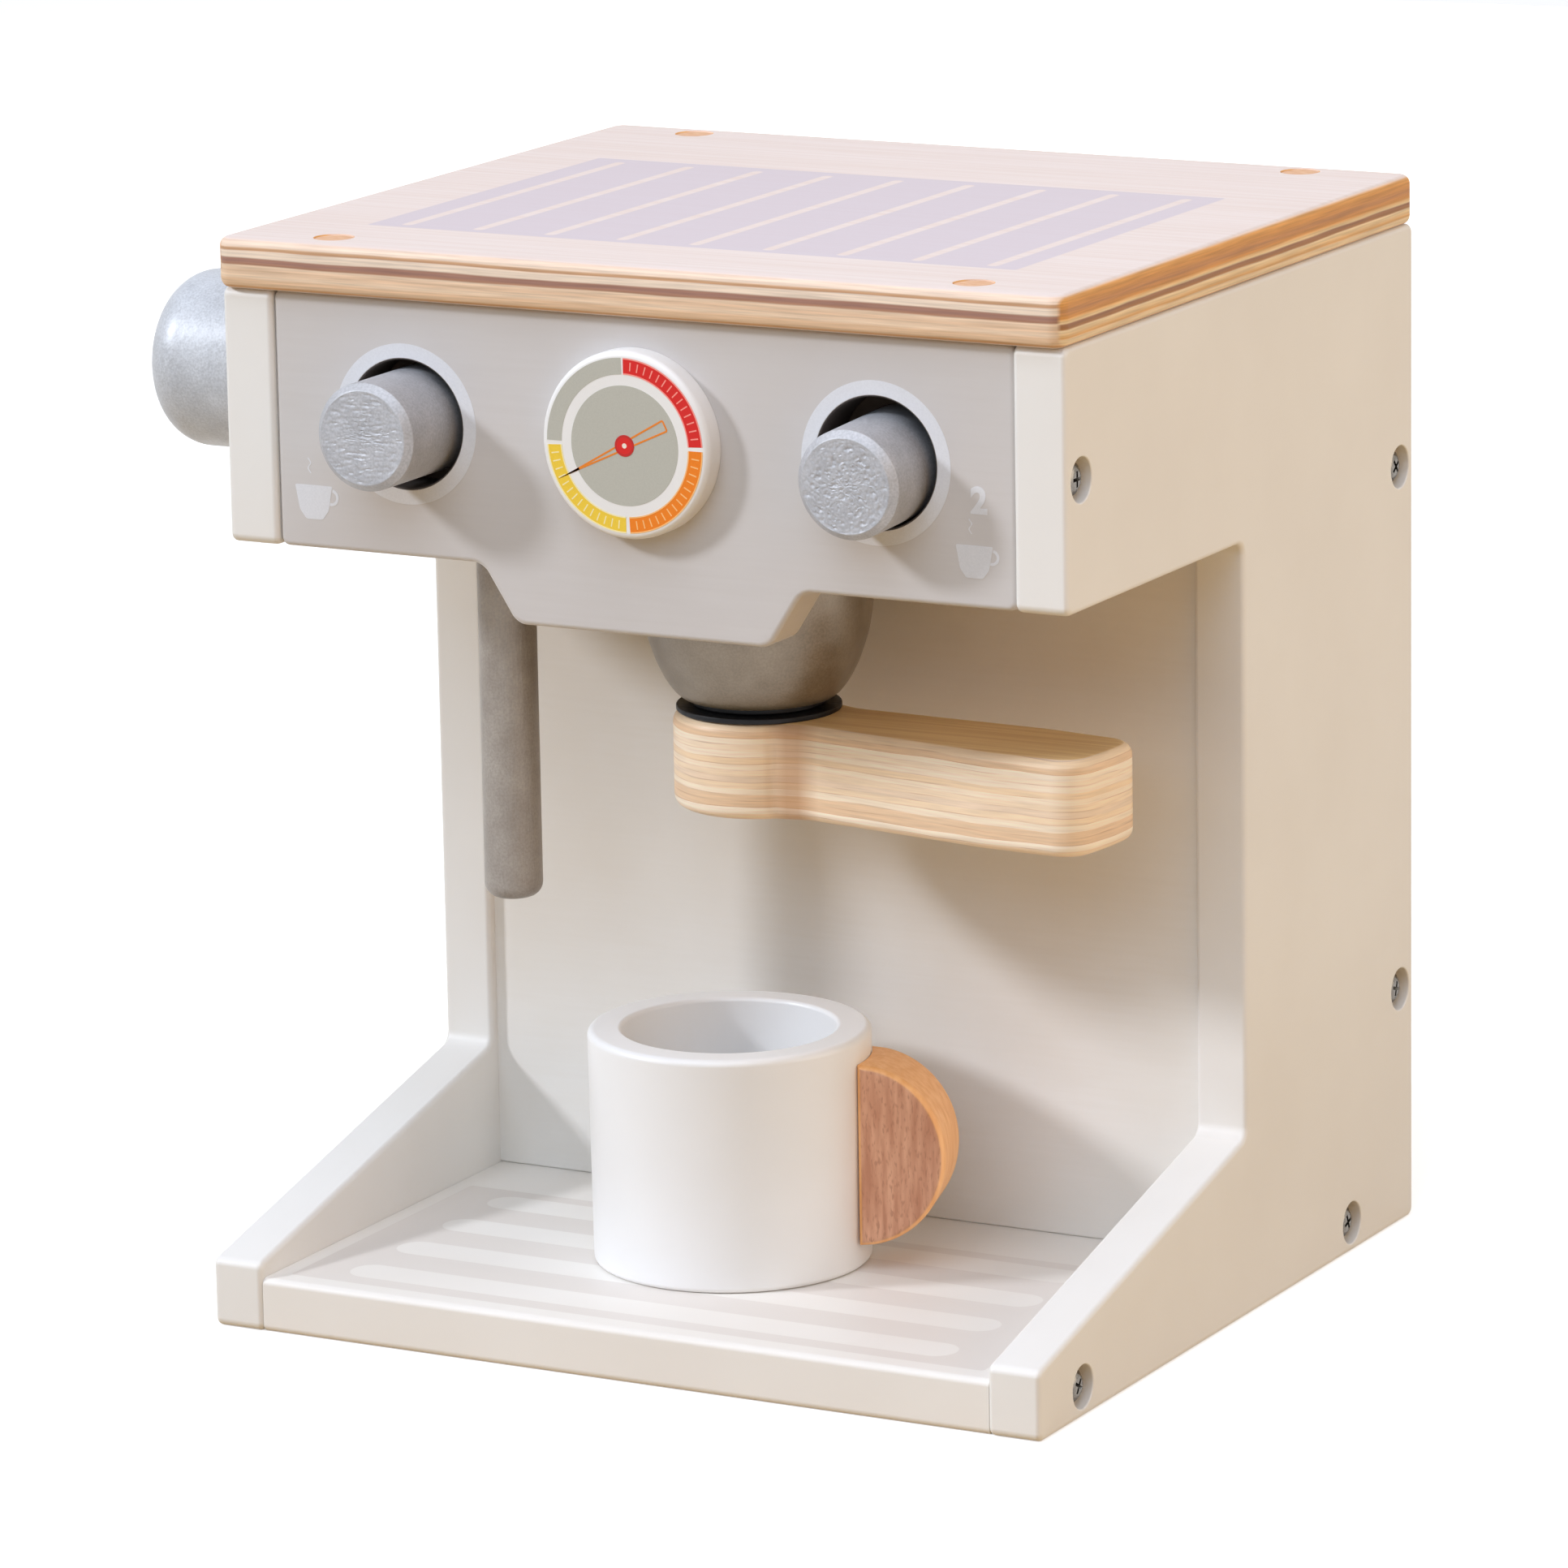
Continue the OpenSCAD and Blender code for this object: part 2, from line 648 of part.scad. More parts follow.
// Steam wand: a dowel with a rounded lower end, glued into the head's floor
module steam_wand() color("#BFC1C4") translate([-wand_x, wand_y, 0]) turned(concat(
    [[0, wand_low_z]], quarter([wand_r - wand_round_r, wand_low_z + wand_round_r], wand_round_r, -90, 0),
    [[wand_r, floor_board_z + wand_socket], [0, floor_board_z + wand_socket]]
));

// ---- Side knob ------------------------------------------------------------------------

// Places the knob's pieces: a frame on its axle, +Z pointing out to the left
module knob_frame() translate([-body_w / 2, knob_y, knob_z]) rotate([0, -90, 0]) children();

module side_knob() color("#AEB0B4") knob_frame() difference() {
    turned(concat(
        [[0, knob_gap], [knob_r - knob_foot_ease, knob_gap], [knob_r, knob_gap + knob_foot_ease]],
        quarter([knob_r - knob_fillet, knob_len - knob_fillet], knob_fillet, 0, 90, 10), [[0, knob_len]]
    ));
    translate([0, 0, -cut]) cylinder(r = axle_r, h = knob_len / 2 + cut);
}

module knob_axle() color("#C9A274") knob_frame()
    translate([0, 0, -board_t - lock_ring_t - axle_tail])
        cylinder(r = axle_r, h = board_t + lock_ring_t + axle_tail + knob_len / 2);

// Ring glued on the axle inside the head, which keeps the knob on
module knob_lock_ring() color("#C9A274") knob_frame() difference() {
    translate([0, 0, -board_t - lock_ring_t - knob_gap]) cylinder(r = lock_ring_r, h = lock_ring_t);
    translate([0, 0, -board_t - lock_ring_t - cut]) cylinder(r = axle_r, h = lock_ring_t + 2 * cut);
}

// ---- Cup ------------------------------------------------------------------------------

// Places the cup's pieces: on the base board, +X towards the cup's handle
module cup_frame() translate([-cup_x, cup_y, board_t]) rotate([0, 0, cup_turn]) children();

cup_profile = concat(
    [[0, 0.5], [cup_foot_r - cup_foot_ring, 0], [cup_foot_r - 1, 0.3], [cup_foot_r, 1.6]],
    quarter([cup_r - rim_r, cup_h - rim_r], rim_r, 0, 90),
    quarter([cup_bore / 2 + bore_rim_r, cup_h - bore_rim_r], bore_rim_r, 90, 180),
    quarter([cup_bore / 2 - cup_floor_r, cup_floor_t + cup_floor_r], cup_floor_r, 0, -90), [[0, cup_floor_t]]
);

// The handle and its peg sit half way up the cup
peg_z = cup_h / 2;
peg_x = cup_bore / 2 + peg_wall;
grip_x = cup_r - grip_bite;

module cup_body() color("#F3F1EE") cup_frame() difference() {
    turned(cup_profile);
    rod_x(peg_x, 0, peg_z, peg_r, cup_r);
}

// Half-round outline of the cup handle, flat side towards the cup
grip_outline = rounded(concat(
    [[0, -grip_r, grip_tip_r]],
    [for (i = [1 : 15]) let (a = -90 + 180 * i / 16)
        [grip_r * grip_flatness * cos(a), grip_r * sin(a), grip_bow_r]],
    [[0, grip_r, grip_tip_r]]
), 1);

module cup_grip() color("#D79A63") cup_frame() difference() {
    translate([grip_x, grip_t / 2, peg_z]) upright_xz() eased_board(grip_outline, grip_t, grip_ease_r);
    translate([0, 0, -cut]) cylinder(r = cup_r + glue_gap, h = cup_h + 2 * cut);
    rod_x(0, 0, peg_z, peg_r, grip_x + peg_in_grip);
}

// Peg glued into the cup and its handle
module cup_peg() color("#C99A66") cup_frame()
    rod_x(peg_x, 0, peg_z, peg_r, grip_x + peg_in_grip - peg_x);

// ---- Drawing --------------------------------------------------------------------------

left_side_panel();
right_side_panel();
base_board();
bay_back_board();
rear_board();
front_board();
head_floor_board();
top_board();
top_screws();
top_plugs();
left_side_screws();
right_side_screws();
gauge_disc();
steam_wand();
group_bowl();
group_screw();
group_magnet();
holder_paddle();
holder_disc();
holder_screw();
left_button();
right_button();
left_button_stop();
right_button_stop();
left_button_spring();
right_button_spring();
button_rail();
side_knob();
knob_axle();
knob_lock_ring();
cup_body();
cup_grip();
cup_peg();
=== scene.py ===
"""Looks of a toy coffee maker in painted board, birch plywood and beech.

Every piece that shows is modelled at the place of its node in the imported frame, with the eased
edges, prints, plies and grain of the real one. A piece inside the head keeps its node's mesh and
gets its finish here. Lengths are millimetres, and a mesh is scaled to metres as it is finished.
"""

import functools
import logging
import math
from collections.abc import Iterable, Mapping, Sequence
from dataclasses import dataclass
from enum import Enum
from typing import Any

import bmesh
import bpy
from mathutils import Matrix, Vector, noise


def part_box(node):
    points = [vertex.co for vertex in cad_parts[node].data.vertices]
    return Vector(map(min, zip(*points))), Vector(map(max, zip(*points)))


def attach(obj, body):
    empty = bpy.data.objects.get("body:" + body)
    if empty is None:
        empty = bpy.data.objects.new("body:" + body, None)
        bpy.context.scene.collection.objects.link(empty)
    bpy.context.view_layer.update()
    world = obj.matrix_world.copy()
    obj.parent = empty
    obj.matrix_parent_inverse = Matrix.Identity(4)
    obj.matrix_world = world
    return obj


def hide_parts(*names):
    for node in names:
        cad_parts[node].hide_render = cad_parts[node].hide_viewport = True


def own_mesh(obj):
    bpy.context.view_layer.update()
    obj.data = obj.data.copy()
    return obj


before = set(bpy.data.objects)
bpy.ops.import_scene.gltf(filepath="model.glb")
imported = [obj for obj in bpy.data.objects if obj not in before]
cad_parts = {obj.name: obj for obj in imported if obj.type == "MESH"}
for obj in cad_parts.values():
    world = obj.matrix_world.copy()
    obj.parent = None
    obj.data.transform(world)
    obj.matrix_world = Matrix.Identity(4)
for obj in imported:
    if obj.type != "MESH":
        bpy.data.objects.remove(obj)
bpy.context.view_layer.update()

LOG = logging.getLogger("toy_coffee_maker")
MM = 0.001
PER_METRE = 1000.0
TINY = 1e-4
ORIGIN = (0.0, 0.0, 0.0)
WHOLE_TURN = 360.0

Colour = tuple[float, float, float, float]
Pair = tuple[float, float]
Triple = tuple[float, float, float]
Stops = tuple[tuple[float, str], ...]
Mesh = bmesh.types.BMesh
Socket = bpy.types.NodeSocket
Tree = bpy.types.NodeTree

# The low and high of a noise that are stretched over a whole pattern: for clouds, marks and
# tints, for wood grain, and for the slow sway of plies
MOST: Pair = (0.3, 0.7)
GRAINY: Pair = (0.35, 0.7)
SWAY: Pair = (0.25, 0.75)


# ---- Small helpers -----------------------------------------------------------------------------


def srgb(code: str) -> Colour:
    """Turns an sRGB hex value into a linear colour.

    Args:
        code: Six hex digits, such as "F0EAE2".

    Returns:
        Linear red, green, blue and an alpha of 1.
    """
    values = [int(code[i : i + 2], 16) / 255 for i in (0, 2, 4)]
    linear = [v / 12.92 if v <= 0.04045 else ((v + 0.055) / 1.055) ** 2.4 for v in values]
    return (*linear, 1.0)


def add_node(
    tree: Tree,
    kind: str,
    *values: Any,
    named: Mapping[str, Any] | None = None,
    out: str = "",
    stops: Stops = (),
    **settings: Any,
) -> Socket | None:
    """Adds a node with its settings, its input values and its links.

    Args:
        tree: The node tree that gets it.
        kind: Blender's name of the node, without its prefix.
        values: What goes into its open inputs, in order: a value, a hex colour or a socket.
        named: The same for inputs by name.
        out: The output wanted, where it isn't the first open one.
        stops: Places and sRGB hex values of a colour ramp.
        settings: The node's own settings.

    Returns:
        The output, if it has one.
    """
    node = tree.nodes.new(f"ShaderNode{kind}")
    for name, value in settings.items():
        setattr(node, name, value)
    pairs = [*zip([s for s in node.inputs if s.enabled], values)]
    for socket, value in pairs + [(node.inputs[key], v) for key, v in (named or {}).items()]:
        if isinstance(value, bpy.types.NodeSocket):
            tree.links.new(value, socket)
        else:
            socket.default_value = srgb(value) if isinstance(value, str) else value
    if stops:
        ramp = node.color_ramp.elements
        ramp.remove(ramp[1])
        ramp[0].position, ramp[0].color = stops[0][0], srgb(stops[0][1])
        for place, code in stops[1:]:
            ramp.new(place).color = srgb(code)
    return node.outputs[out] if out else next((s for s in node.outputs if s.enabled), None)


@dataclass(frozen=True)
class Box:
    """Extent of a node of the frame at rest, in millimetres."""

    low: Triple
    high: Triple

    @classmethod
    def of(cls, node: str) -> "Box":
        """Measures a node."""
        low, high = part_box(node)
        return cls(tuple(low / MM), tuple(high / MM))

    def middle(self, axis: int) -> float:
        """Gives the middle of the box along an axis."""
        return (self.low[axis] + self.high[axis]) / 2

    def half(self, axis: int) -> float:
        """Gives half of the box's size along an axis."""
        return (self.high[axis] - self.low[axis]) / 2


class Body(Enum):
    """The bodies of the frame that pieces ride on."""

    FRAME = "frame"
    LEFT_BUTTON = "left_button"
    RIGHT_BUTTON = "right_button"
    SIDE_KNOB = "side_knob"
    MAGNET = "magnet"
    FILTER_HOLDER = "filter_holder"
    CUP = "cup"


class Plane(Enum):
    """How a flat outline is stood up, as the world axes of its across, up and thickness."""

    LYING = (0, 1, 2)
    FACING = (0, 2, 1)
    SIDEWAYS = (1, 2, 0)

    def matrix(self) -> Matrix:
        """Gives the matrix from the outline's axes to the world's.

        Returns:
            The matrix.
        """
        turned = Matrix.Diagonal((0.0, 0.0, 0.0, 1.0))
        for own, world in enumerate(self.value):
            turned[world][own] = 1.0
        return turned


def at(x: float, y: float, z: float) -> Matrix:
    """Gives the matrix that moves the origin to a place."""
    return Matrix.Translation((x, y, z))


def turned_by(degrees: float, axis: str = "Z") -> Matrix:
    """Gives the matrix that turns about one of the axes."""
    return Matrix.Rotation(math.radians(degrees), 4, axis)


# ---- Finishes ----------------------------------------------------------------------------------


@dataclass(frozen=True)
class Finish:
    """A finish of a surface; a subclass says what feeds the surface shader."""

    name: str

    def surface(self, tree: Tree) -> dict[str, Any]:
        """Builds the pattern nodes and returns the surface shader's inputs."""
        raise NotImplementedError


@functools.cache
def material_of(finish: Finish) -> bpy.types.Material:
    """Makes a finish's material once.

    Args:
        finish: The finish.

    Returns:
        Its material.
    """
    material = bpy.data.materials.new(finish.name)
    material.use_nodes = True
    tree = material.node_tree
    tree.nodes.clear()
    shader = add_node(tree, "BsdfPrincipled", named=finish.surface(tree))
    add_node(tree, "OutputMaterial", shader)
    return material


def grain_of(tree: Tree, sizes: Triple, detail: float = 3.0) -> Socket:
    """Makes noise whose features have a real size along each axis.

    Args:
        tree: The material's nodes.
        sizes: Feature size along X, Y and Z in millimetres.
        detail: Octaves of finer noise.

    Returns:
        The noise, from 0 to 1.
    """
    place = add_node(tree, "TexCoord", out="Object")
    scale = tuple(PER_METRE / size for size in sizes)
    scaled = add_node(tree, "VectorMath", place, scale, operation="MULTIPLY")
    return add_node(tree, "TexNoise", scaled, 1.0, detail)


def two_tone(
    tree: Tree,
    value: Socket,
    between: Pair,
    first: Socket | str,
    second: Socket | str,
    most: float = 1.0,
) -> Socket:
    """Goes from one colour to another as a value rises.

    Args:
        tree: The material's nodes.
        value: What decides.
        between: The values between which the colour changes.
        first: The colour below them.
        second: The colour above them.
        most: How far it goes to the second colour.

    Returns:
        The colour.
    """
    share = add_node(tree, "MapRange", value, *between, 0.0, most)
    return add_node(tree, "Mix", share, first, second, data_type="RGBA")


def tinted(tree: Tree, colour: Socket | str, value: Socket, shades: Pair) -> Socket:
    """Darkens and lightens a colour by a noise.

    Args:
        tree: The material's nodes.
        colour: The colour.
        value: The noise.
        shades: What the colour is multiplied by at the noise's low and high.

    Returns:
        The colour.
    """
    share = add_node(tree, "MapRange", value, *MOST, *shades)
    return add_node(tree, "Mix", 1.0, colour, share, data_type="RGBA", blend_type="MULTIPLY")


def component(tree: Tree, which: str, axis: str, operation: str = "ABSOLUTE") -> Socket:
    """Gives one axis of the coordinates or of the normal, as it is or put through an operation."""
    value = add_node(tree, "SeparateXYZ", add_node(tree, "TexCoord", out=which), out=axis)
    return add_node(tree, "Math", value, operation=operation) if operation else value


class Slots(Enum):
    """Which way a print's row of slots runs on."""

    ALONG_X = (1, 0)
    ALONG_Y = (0, 1)


@dataclass(frozen=True)
class SlotPrint:
    """A screen-printed field with a row of bare, round-ended slots, as seen from above.

    It lies where the surface faces up, which is where its normal's Z is past level.
    """

    centre: Pair
    half: Pair
    corner: float
    slot_centre: Pair
    slot_half: Pair
    pitch: float
    row: Slots
    ink: str
    cover: float
    level: float
    edge: float = 0.15

    def _inside(self, tree: Tree, place: Socket, half: Pair, corner: float) -> Socket:
        """Gives 1 inside a round-cornered rectangle about the origin and 0 outside it.

        Args:
            tree: The material's nodes.
            place: The place, in millimetres.
            half: Half of the rectangle's sides.
            corner: The radius of its corners.

        Returns:
            The share of ink.
        """
        core = (half[0] - corner, half[1] - corner, 0.0)
        steps = {"ABSOLUTE": (), "SUBTRACT": (core,), "MAXIMUM": (ORIGIN,), "LENGTH": ()}
        for operation, other in steps.items():
            place = add_node(tree, "VectorMath", place, *other, operation=operation)
        return add_node(tree, "MapRange", place, corner - self.edge, corner + self.edge, 1.0, 0.0)

    def over(self, tree: Tree, colour: Socket) -> Socket:
        """Prints over a colour.

        Args:
            tree: The material's nodes.
            colour: The bare surface's colour.

        Returns:
            The printed surface's colour.
        """
        place = add_node(tree, "TexCoord", out="Object")
        scale = (PER_METRE, PER_METRE, 0.0)
        flat = add_node(tree, "VectorMath", place, scale, operation="MULTIPLY")
        in_field, in_slots = (
            add_node(tree, "VectorMath", flat, (*spot, 0.0), operation="SUBTRACT")
            for spot in (self.centre, self.slot_centre)
        )
        turn = [self.pitch / 2 if along else PER_METRE for along in self.row.value]
        ends = ((*turn, 1.0), (-turn[0], -turn[1], -1.0))
        in_slots = add_node(tree, "VectorMath", in_slots, *ends, operation="WRAP")
        field = self._inside(tree, in_field, self.half, self.corner)
        slot = self._inside(tree, in_slots, self.slot_half, min(self.slot_half))
        bare = add_node(tree, "Math", 1.0, slot, operation="SUBTRACT")
        up = component(tree, "Normal", "Z", "")
        facing = add_node(tree, "Math", up, self.level, operation="GREATER_THAN")
        cover = field
        for share in (bare, facing, self.cover):
            cover = add_node(tree, "Math", cover, share, operation="MULTIPLY")
        return add_node(tree, "Mix", cover, colour, self.ink, data_type="RGBA")


@dataclass(frozen=True)
class SatinPaint(Finish):
    """Sprayed satin lacquer on fibreboard or turned wood: smooth, with a faint orange peel."""

    colour: str
    shade: str
    roughness: float = 0.42
    cloud_mm: float = 45.0
    peel_mm: float = 1.6
    peel_depth: float = 0.012
    brush: Triple | None = None
    brush_depth: float = 0.02
    brush_tone: float = 0.35
    slots: SlotPrint | None = None

    def surface(self, tree: Tree) -> dict[str, Any]:
        """Builds cloudy colour, brush marks, orange peel and the print.

        Args:
            tree: The material's nodes.

        Returns:
            The surface shader's inputs.
        """
        cloud = grain_of(tree, (self.cloud_mm,) * 3)
        colour = two_tone(tree, cloud, MOST, self.colour, self.shade)
        peel = grain_of(tree, (self.peel_mm,) * 3, 2.0)
        normal = add_node(tree, "Bump", named={"Height": peel, "Distance": self.peel_depth * MM})
        if self.brush:
            marks = grain_of(tree, self.brush, 2.0)
            over = {"Height": marks, "Distance": self.brush_depth * MM, "Normal": normal}
            normal = add_node(tree, "Bump", named=over)
            colour = two_tone(tree, marks, (0.35, 0.75), colour, self.shade, self.brush_tone)
        if self.slots:
            colour = self.slots.over(tree, colour)
        return {"Base Color": colour, "Roughness": self.roughness, "Normal": normal}


@dataclass(frozen=True)
class Ink(Finish):
    """Screen-printed ink, a hair thick: matt, with a trace of the mesh it was pressed through.

    A print screen's threads lie about 0.1 mm apart, by common knowledge and not measured here,
    which is too fine to show, so the mesh is drawn at mesh_mm.
    """

    colour: str
    roughness: float = 0.55
    mesh_mm: float = 0.4
    shades: Pair = (0.97, 1.02)
    depth: float = 0.003

    def surface(self, tree: Tree) -> dict[str, Any]:
        """Builds the ink's faint mottling.

        Args:
            tree: The material's nodes.

        Returns:
            The surface shader's inputs.
        """
        mottle = grain_of(tree, (self.mesh_mm,) * 3, 1.0)
        return {
            "Base Color": tinted(tree, self.colour, mottle, self.shades),
            "Roughness": self.roughness,
            "Normal": add_node(
                tree, "Bump", named={"Height": mottle, "Distance": self.depth * MM}
            ),
        }


@dataclass(frozen=True)
class TopPly(Finish):
    """Clear-lacquered birch plywood: pale veneer on top, its own row of plies on each edge; the
    sideways edges' plies are darker and warmer as painted shade.
    """

    low: float
    thick: float
    front_plies: Stops
    side_plies_painted_shade: Stops
    slots: SlotPrint
    veneer: str = "E9D9D1"
    veneer_dark: str = "E3CFC4"
    wave_mm: float = 0.5
    roughness: float = 0.5
    gloss: float = 0.3
    streak_mm: Triple = (16.0, 16.0, 0.45)
    sway_mm: Triple = (38.0, 38.0, 6.0)
    grain_mm: Triple = (70.0, 1.6, 4.0)
    fibre_mm: Triple = (9.0, 0.7, 0.5)
    fibre_depth: float = 0.02

    def surface(self, tree: Tree) -> dict[str, Any]:
        """Builds the veneer, the edges and the grille print.

        Args:
            tree: The material's nodes.

        Returns:
            The surface shader's inputs.
        """
        height = component(tree, "Object", "Z", "")
        ends = (self.low * MM, (self.low + self.thick) * MM)
        share = add_node(tree, "MapRange", height, *ends, 0.0, 1.0)
        half_wave = self.wave_mm / self.thick / 2
        sway = grain_of(tree, self.sway_mm, 2.0)
        shift = add_node(tree, "MapRange", sway, *SWAY, -half_wave, half_wave)
        share = add_node(tree, "Math", share, shift, operation="ADD")
        streaks = grain_of(tree, self.streak_mm, 4.0)
        front, side = (
            tinted(tree, add_node(tree, "ValToRGB", share, stops=plies), streaks, (0.8, 1.12))
            for plies in (self.front_plies, self.side_plies_painted_shade)
        )
        # Edges that face along X take the side plies, whose darker, warmer colours are painted
        # shade.
        edge = two_tone(tree, component(tree, "Normal", "X"), (0.6, 0.8), front, side)
        grain = grain_of(tree, self.grain_mm, 5.0)
        veneer = two_tone(tree, grain, GRAINY, self.veneer, self.veneer_dark)
        printed = self.slots.over(tree, veneer)
        fibre = grain_of(tree, self.fibre_mm)
        return {
            "Base Color": two_tone(
                tree, component(tree, "Normal", "Z"), (0.75, 0.9), edge, printed
            ),
            "Roughness": self.roughness,
            "Specular IOR Level": self.gloss,
            "Normal": add_node(
                tree, "Bump", named={"Height": fibre, "Distance": self.fibre_depth * MM}
            ),
        }


@dataclass(frozen=True)
class PaddlePly(Finish):
    """Thick birch plywood, sanded round and oiled: thin plies of many shades, and glue lines."""

    low: float
    thick: float
    ply_mm: float = 1.4
    sway: float = 0.3
    plies: Stops = (
        (0.0, "FCE9CF"),
        (0.25, "FFF0DC"),
        (0.5, "F6DAB6"),
        (0.7, "FDEAD2"),
        (0.85, "E2B88A"),
        (1.0, "FFF4E4"),
    )
    glue: str = "AE7748"
    glue_share: float = 0.2
    face: str = "EFCD95"
    face_dark: str = "DCB37C"
    # Painted shade: a brown patch about the drawn-in neck, for the shade of its hollow curve.
    neck: Triple = (15.0, -39.0, 0.0)
    neck_reach: Pair = (1.5, 6.5)
    neck_tone: float = 0.55
    neck_colour: str = "B98252"
    roughness: float = 0.45
    sway_mm: Triple = (30.0, 30.0, 7.0)
    patch_mm: Triple = (14.0, 14.0, 1.4)
    streak_mm: Triple = (11.0, 11.0, 0.5)
    grain_mm: Triple = (45.0, 1.5, 4.0)
    fibre_mm: Triple = (9.0, 9.0, 0.4)
    fibre_depth: float = 0.02

    def _rim(self, tree: Tree) -> Socket:
        """Colours the plies, the glue between them, and a painted shade in the drawn-in neck.

        Args:
            tree: The material's nodes.

        Returns:
            The rim's colour.
        """
        height = component(tree, "Object", "Z", "")
        reach = self.sway * self.ply_mm
        shift = add_node(tree, "MapRange", grain_of(tree, self.sway_mm, 2.0), *SWAY, -reach, reach)
        ends = (self.low * MM, (self.low + self.thick) * MM)
        level = add_node(tree, "MapRange", height, *ends, 0.0, self.thick)
        level = add_node(tree, "Math", level, shift, operation="ADD")
        count = add_node(tree, "Math", level, self.ply_mm, operation="DIVIDE")
        index = add_node(tree, "Math", count, operation="FLOOR")
        within = add_node(tree, "Math", count, operation="FRACT")
        pick = add_node(tree, "TexWhiteNoise", index, noise_dimensions="1D")
        ply = add_node(tree, "ValToRGB", pick, stops=self.plies)
        line = add_node(tree, "MapRange", within, 0.0, self.glue_share, 1.0, 0.0)
        patches = grain_of(tree, self.patch_mm, 2.0)
        patches = add_node(tree, "MapRange", patches, 0.4, 0.65, 0.0, 0.65)
        dark = add_node(tree, "Math", line, patches, operation="MULTIPLY")
        glued = add_node(tree, "Mix", dark, ply, self.glue, data_type="RGBA")
        rim = tinted(tree, glued, grain_of(tree, self.streak_mm, 4.0), (0.94, 1.16))
        # Painted shade: the rim darkens to a brown about the drawn-in neck.
        place = add_node(tree, "TexCoord", out="Object")
        flat = add_node(tree, "VectorMath", place, (1.0, 1.0, 0.0), operation="MULTIPLY")
        spot = tuple(v * MM for v in self.neck)
        away = add_node(tree, "VectorMath", flat, spot, operation="DISTANCE")
        reach = [v * MM for v in self.neck_reach]
        near = add_node(tree, "MapRange", away, *reach, self.neck_tone, 0.0)
        return add_node(tree, "Mix", near, rim, self.neck_colour, data_type="RGBA")

    def surface(self, tree: Tree) -> dict[str, Any]:
        """Builds the plies of the rim and the veneer of the flat faces.

        Args:
            tree: The material's nodes.

        Returns:
            The surface shader's inputs.
        """
        grain = grain_of(tree, self.grain_mm, 4.0)
        veneer = two_tone(tree, grain, GRAINY, self.face, self.face_dark)
        lying = component(tree, "Normal", "Z")
        fibre = grain_of(tree, self.fibre_mm)
        return {
            "Base Color": two_tone(tree, lying, (0.93, 0.98), self._rim(tree), veneer),
            "Roughness": self.roughness,
            "Normal": add_node(
                tree, "Bump", named={"Height": fibre, "Distance": self.fibre_depth * MM}
            ),
        }


@dataclass(frozen=True)
class Beech(Finish):
    """Oiled beech cut across a board: a pinkish face with flecks and wavy grain, and a lighter
    orange rim that is partly the side grain and partly painted warm light.
    """

    flat_along: Triple
    face: str = "DFA785"
    face_dark: str = "B67756"
    # The rim's orange tones are partly the side grain and partly painted warm light on the curved
    # edge.
    rim: str = "FFC385"
    rim_dark: str = "EDA662"
    fleck: str = "A2684A"
    wavy_mm: Triple = (1.5, 1.5, 13.0)
    fleck_mm: Triple = (0.5, 0.5, 1.8)
    roughness: float = 0.48
    depth: float = 0.03

    def surface(self, tree: Tree) -> dict[str, Any]:
        """Builds grain, flecks and the two tones.

        Args:
            tree: The material's nodes.

        Returns:
            The surface shader's inputs.
        """
        wavy, flecks = grain_of(tree, self.wavy_mm), grain_of(tree, self.fleck_mm, 1.0)
        face, rim = (
            two_tone(tree, wavy, (0.32, 0.68), *tones, 0.8)
            for tones in ((self.face, self.face_dark), (self.rim, self.rim_dark))
        )
        face = two_tone(tree, flecks, (0.56, 0.7), face, self.fleck, 0.5)
        normal = add_node(tree, "TexCoord", out="Normal")
        facing = add_node(tree, "VectorMath", normal, self.flat_along, operation="DOT_PRODUCT")
        flat = add_node(tree, "Math", facing, operation="ABSOLUTE")
        deep = {"Distance": self.depth * MM}
        waves = add_node(tree, "Bump", named={"Height": wavy, **deep})
        return {
            "Base Color": two_tone(tree, flat, (0.8, 0.93), rim, face),
            "Roughness": self.roughness,
            "Normal": add_node(tree, "Bump", named={"Height": flecks, "Normal": waves, **deep}),
        }


@dataclass(frozen=True)
class SilverPaint(Finish):
    """Aluminium-flake paint brushed on turned wood: soft metal sheen over the wood's relief.

    Such flakes are under a tenth of a millimetre, by common knowledge and not measured here,
    which is too fine to show, so they are drawn at flake_mm.
    """

    colour: str = "B6B6B9"
    shade: str = "A9A9AC"
    metal: float = 0.3
    roughness: float = 0.5
    relief_mm: Triple = (0.9, 0.9, 0.9)
    depth: float = 0.02
    cover_mm: float = 7.0
    flake_mm: float = 0.5

    def surface(self, tree: Tree) -> dict[str, Any]:
        """Builds flakes, cloudy cover and the wood's relief.

        Args:
            tree: The material's nodes.

        Returns:
            The surface shader's inputs.
        """
        flakes = grain_of(tree, (self.flake_mm,) * 3, 1.0)
        cover = grain_of(tree, (self.cover_mm,) * 3)
        colour = two_tone(tree, cover, GRAINY, self.colour, self.shade)
        spread = (self.roughness - 0.06, self.roughness + 0.1)
        wood = grain_of(tree, self.relief_mm)
        return {
            "Base Color": tinted(tree, colour, flakes, (0.86, 1.1)),
            "Metallic": self.metal,
            "Roughness": add_node(tree, "MapRange", flakes, *MOST, *spread),
            "Normal": add_node(
                tree, "Bump", named={"Height": wood, "Distance": self.depth * MM}
            ),
        }


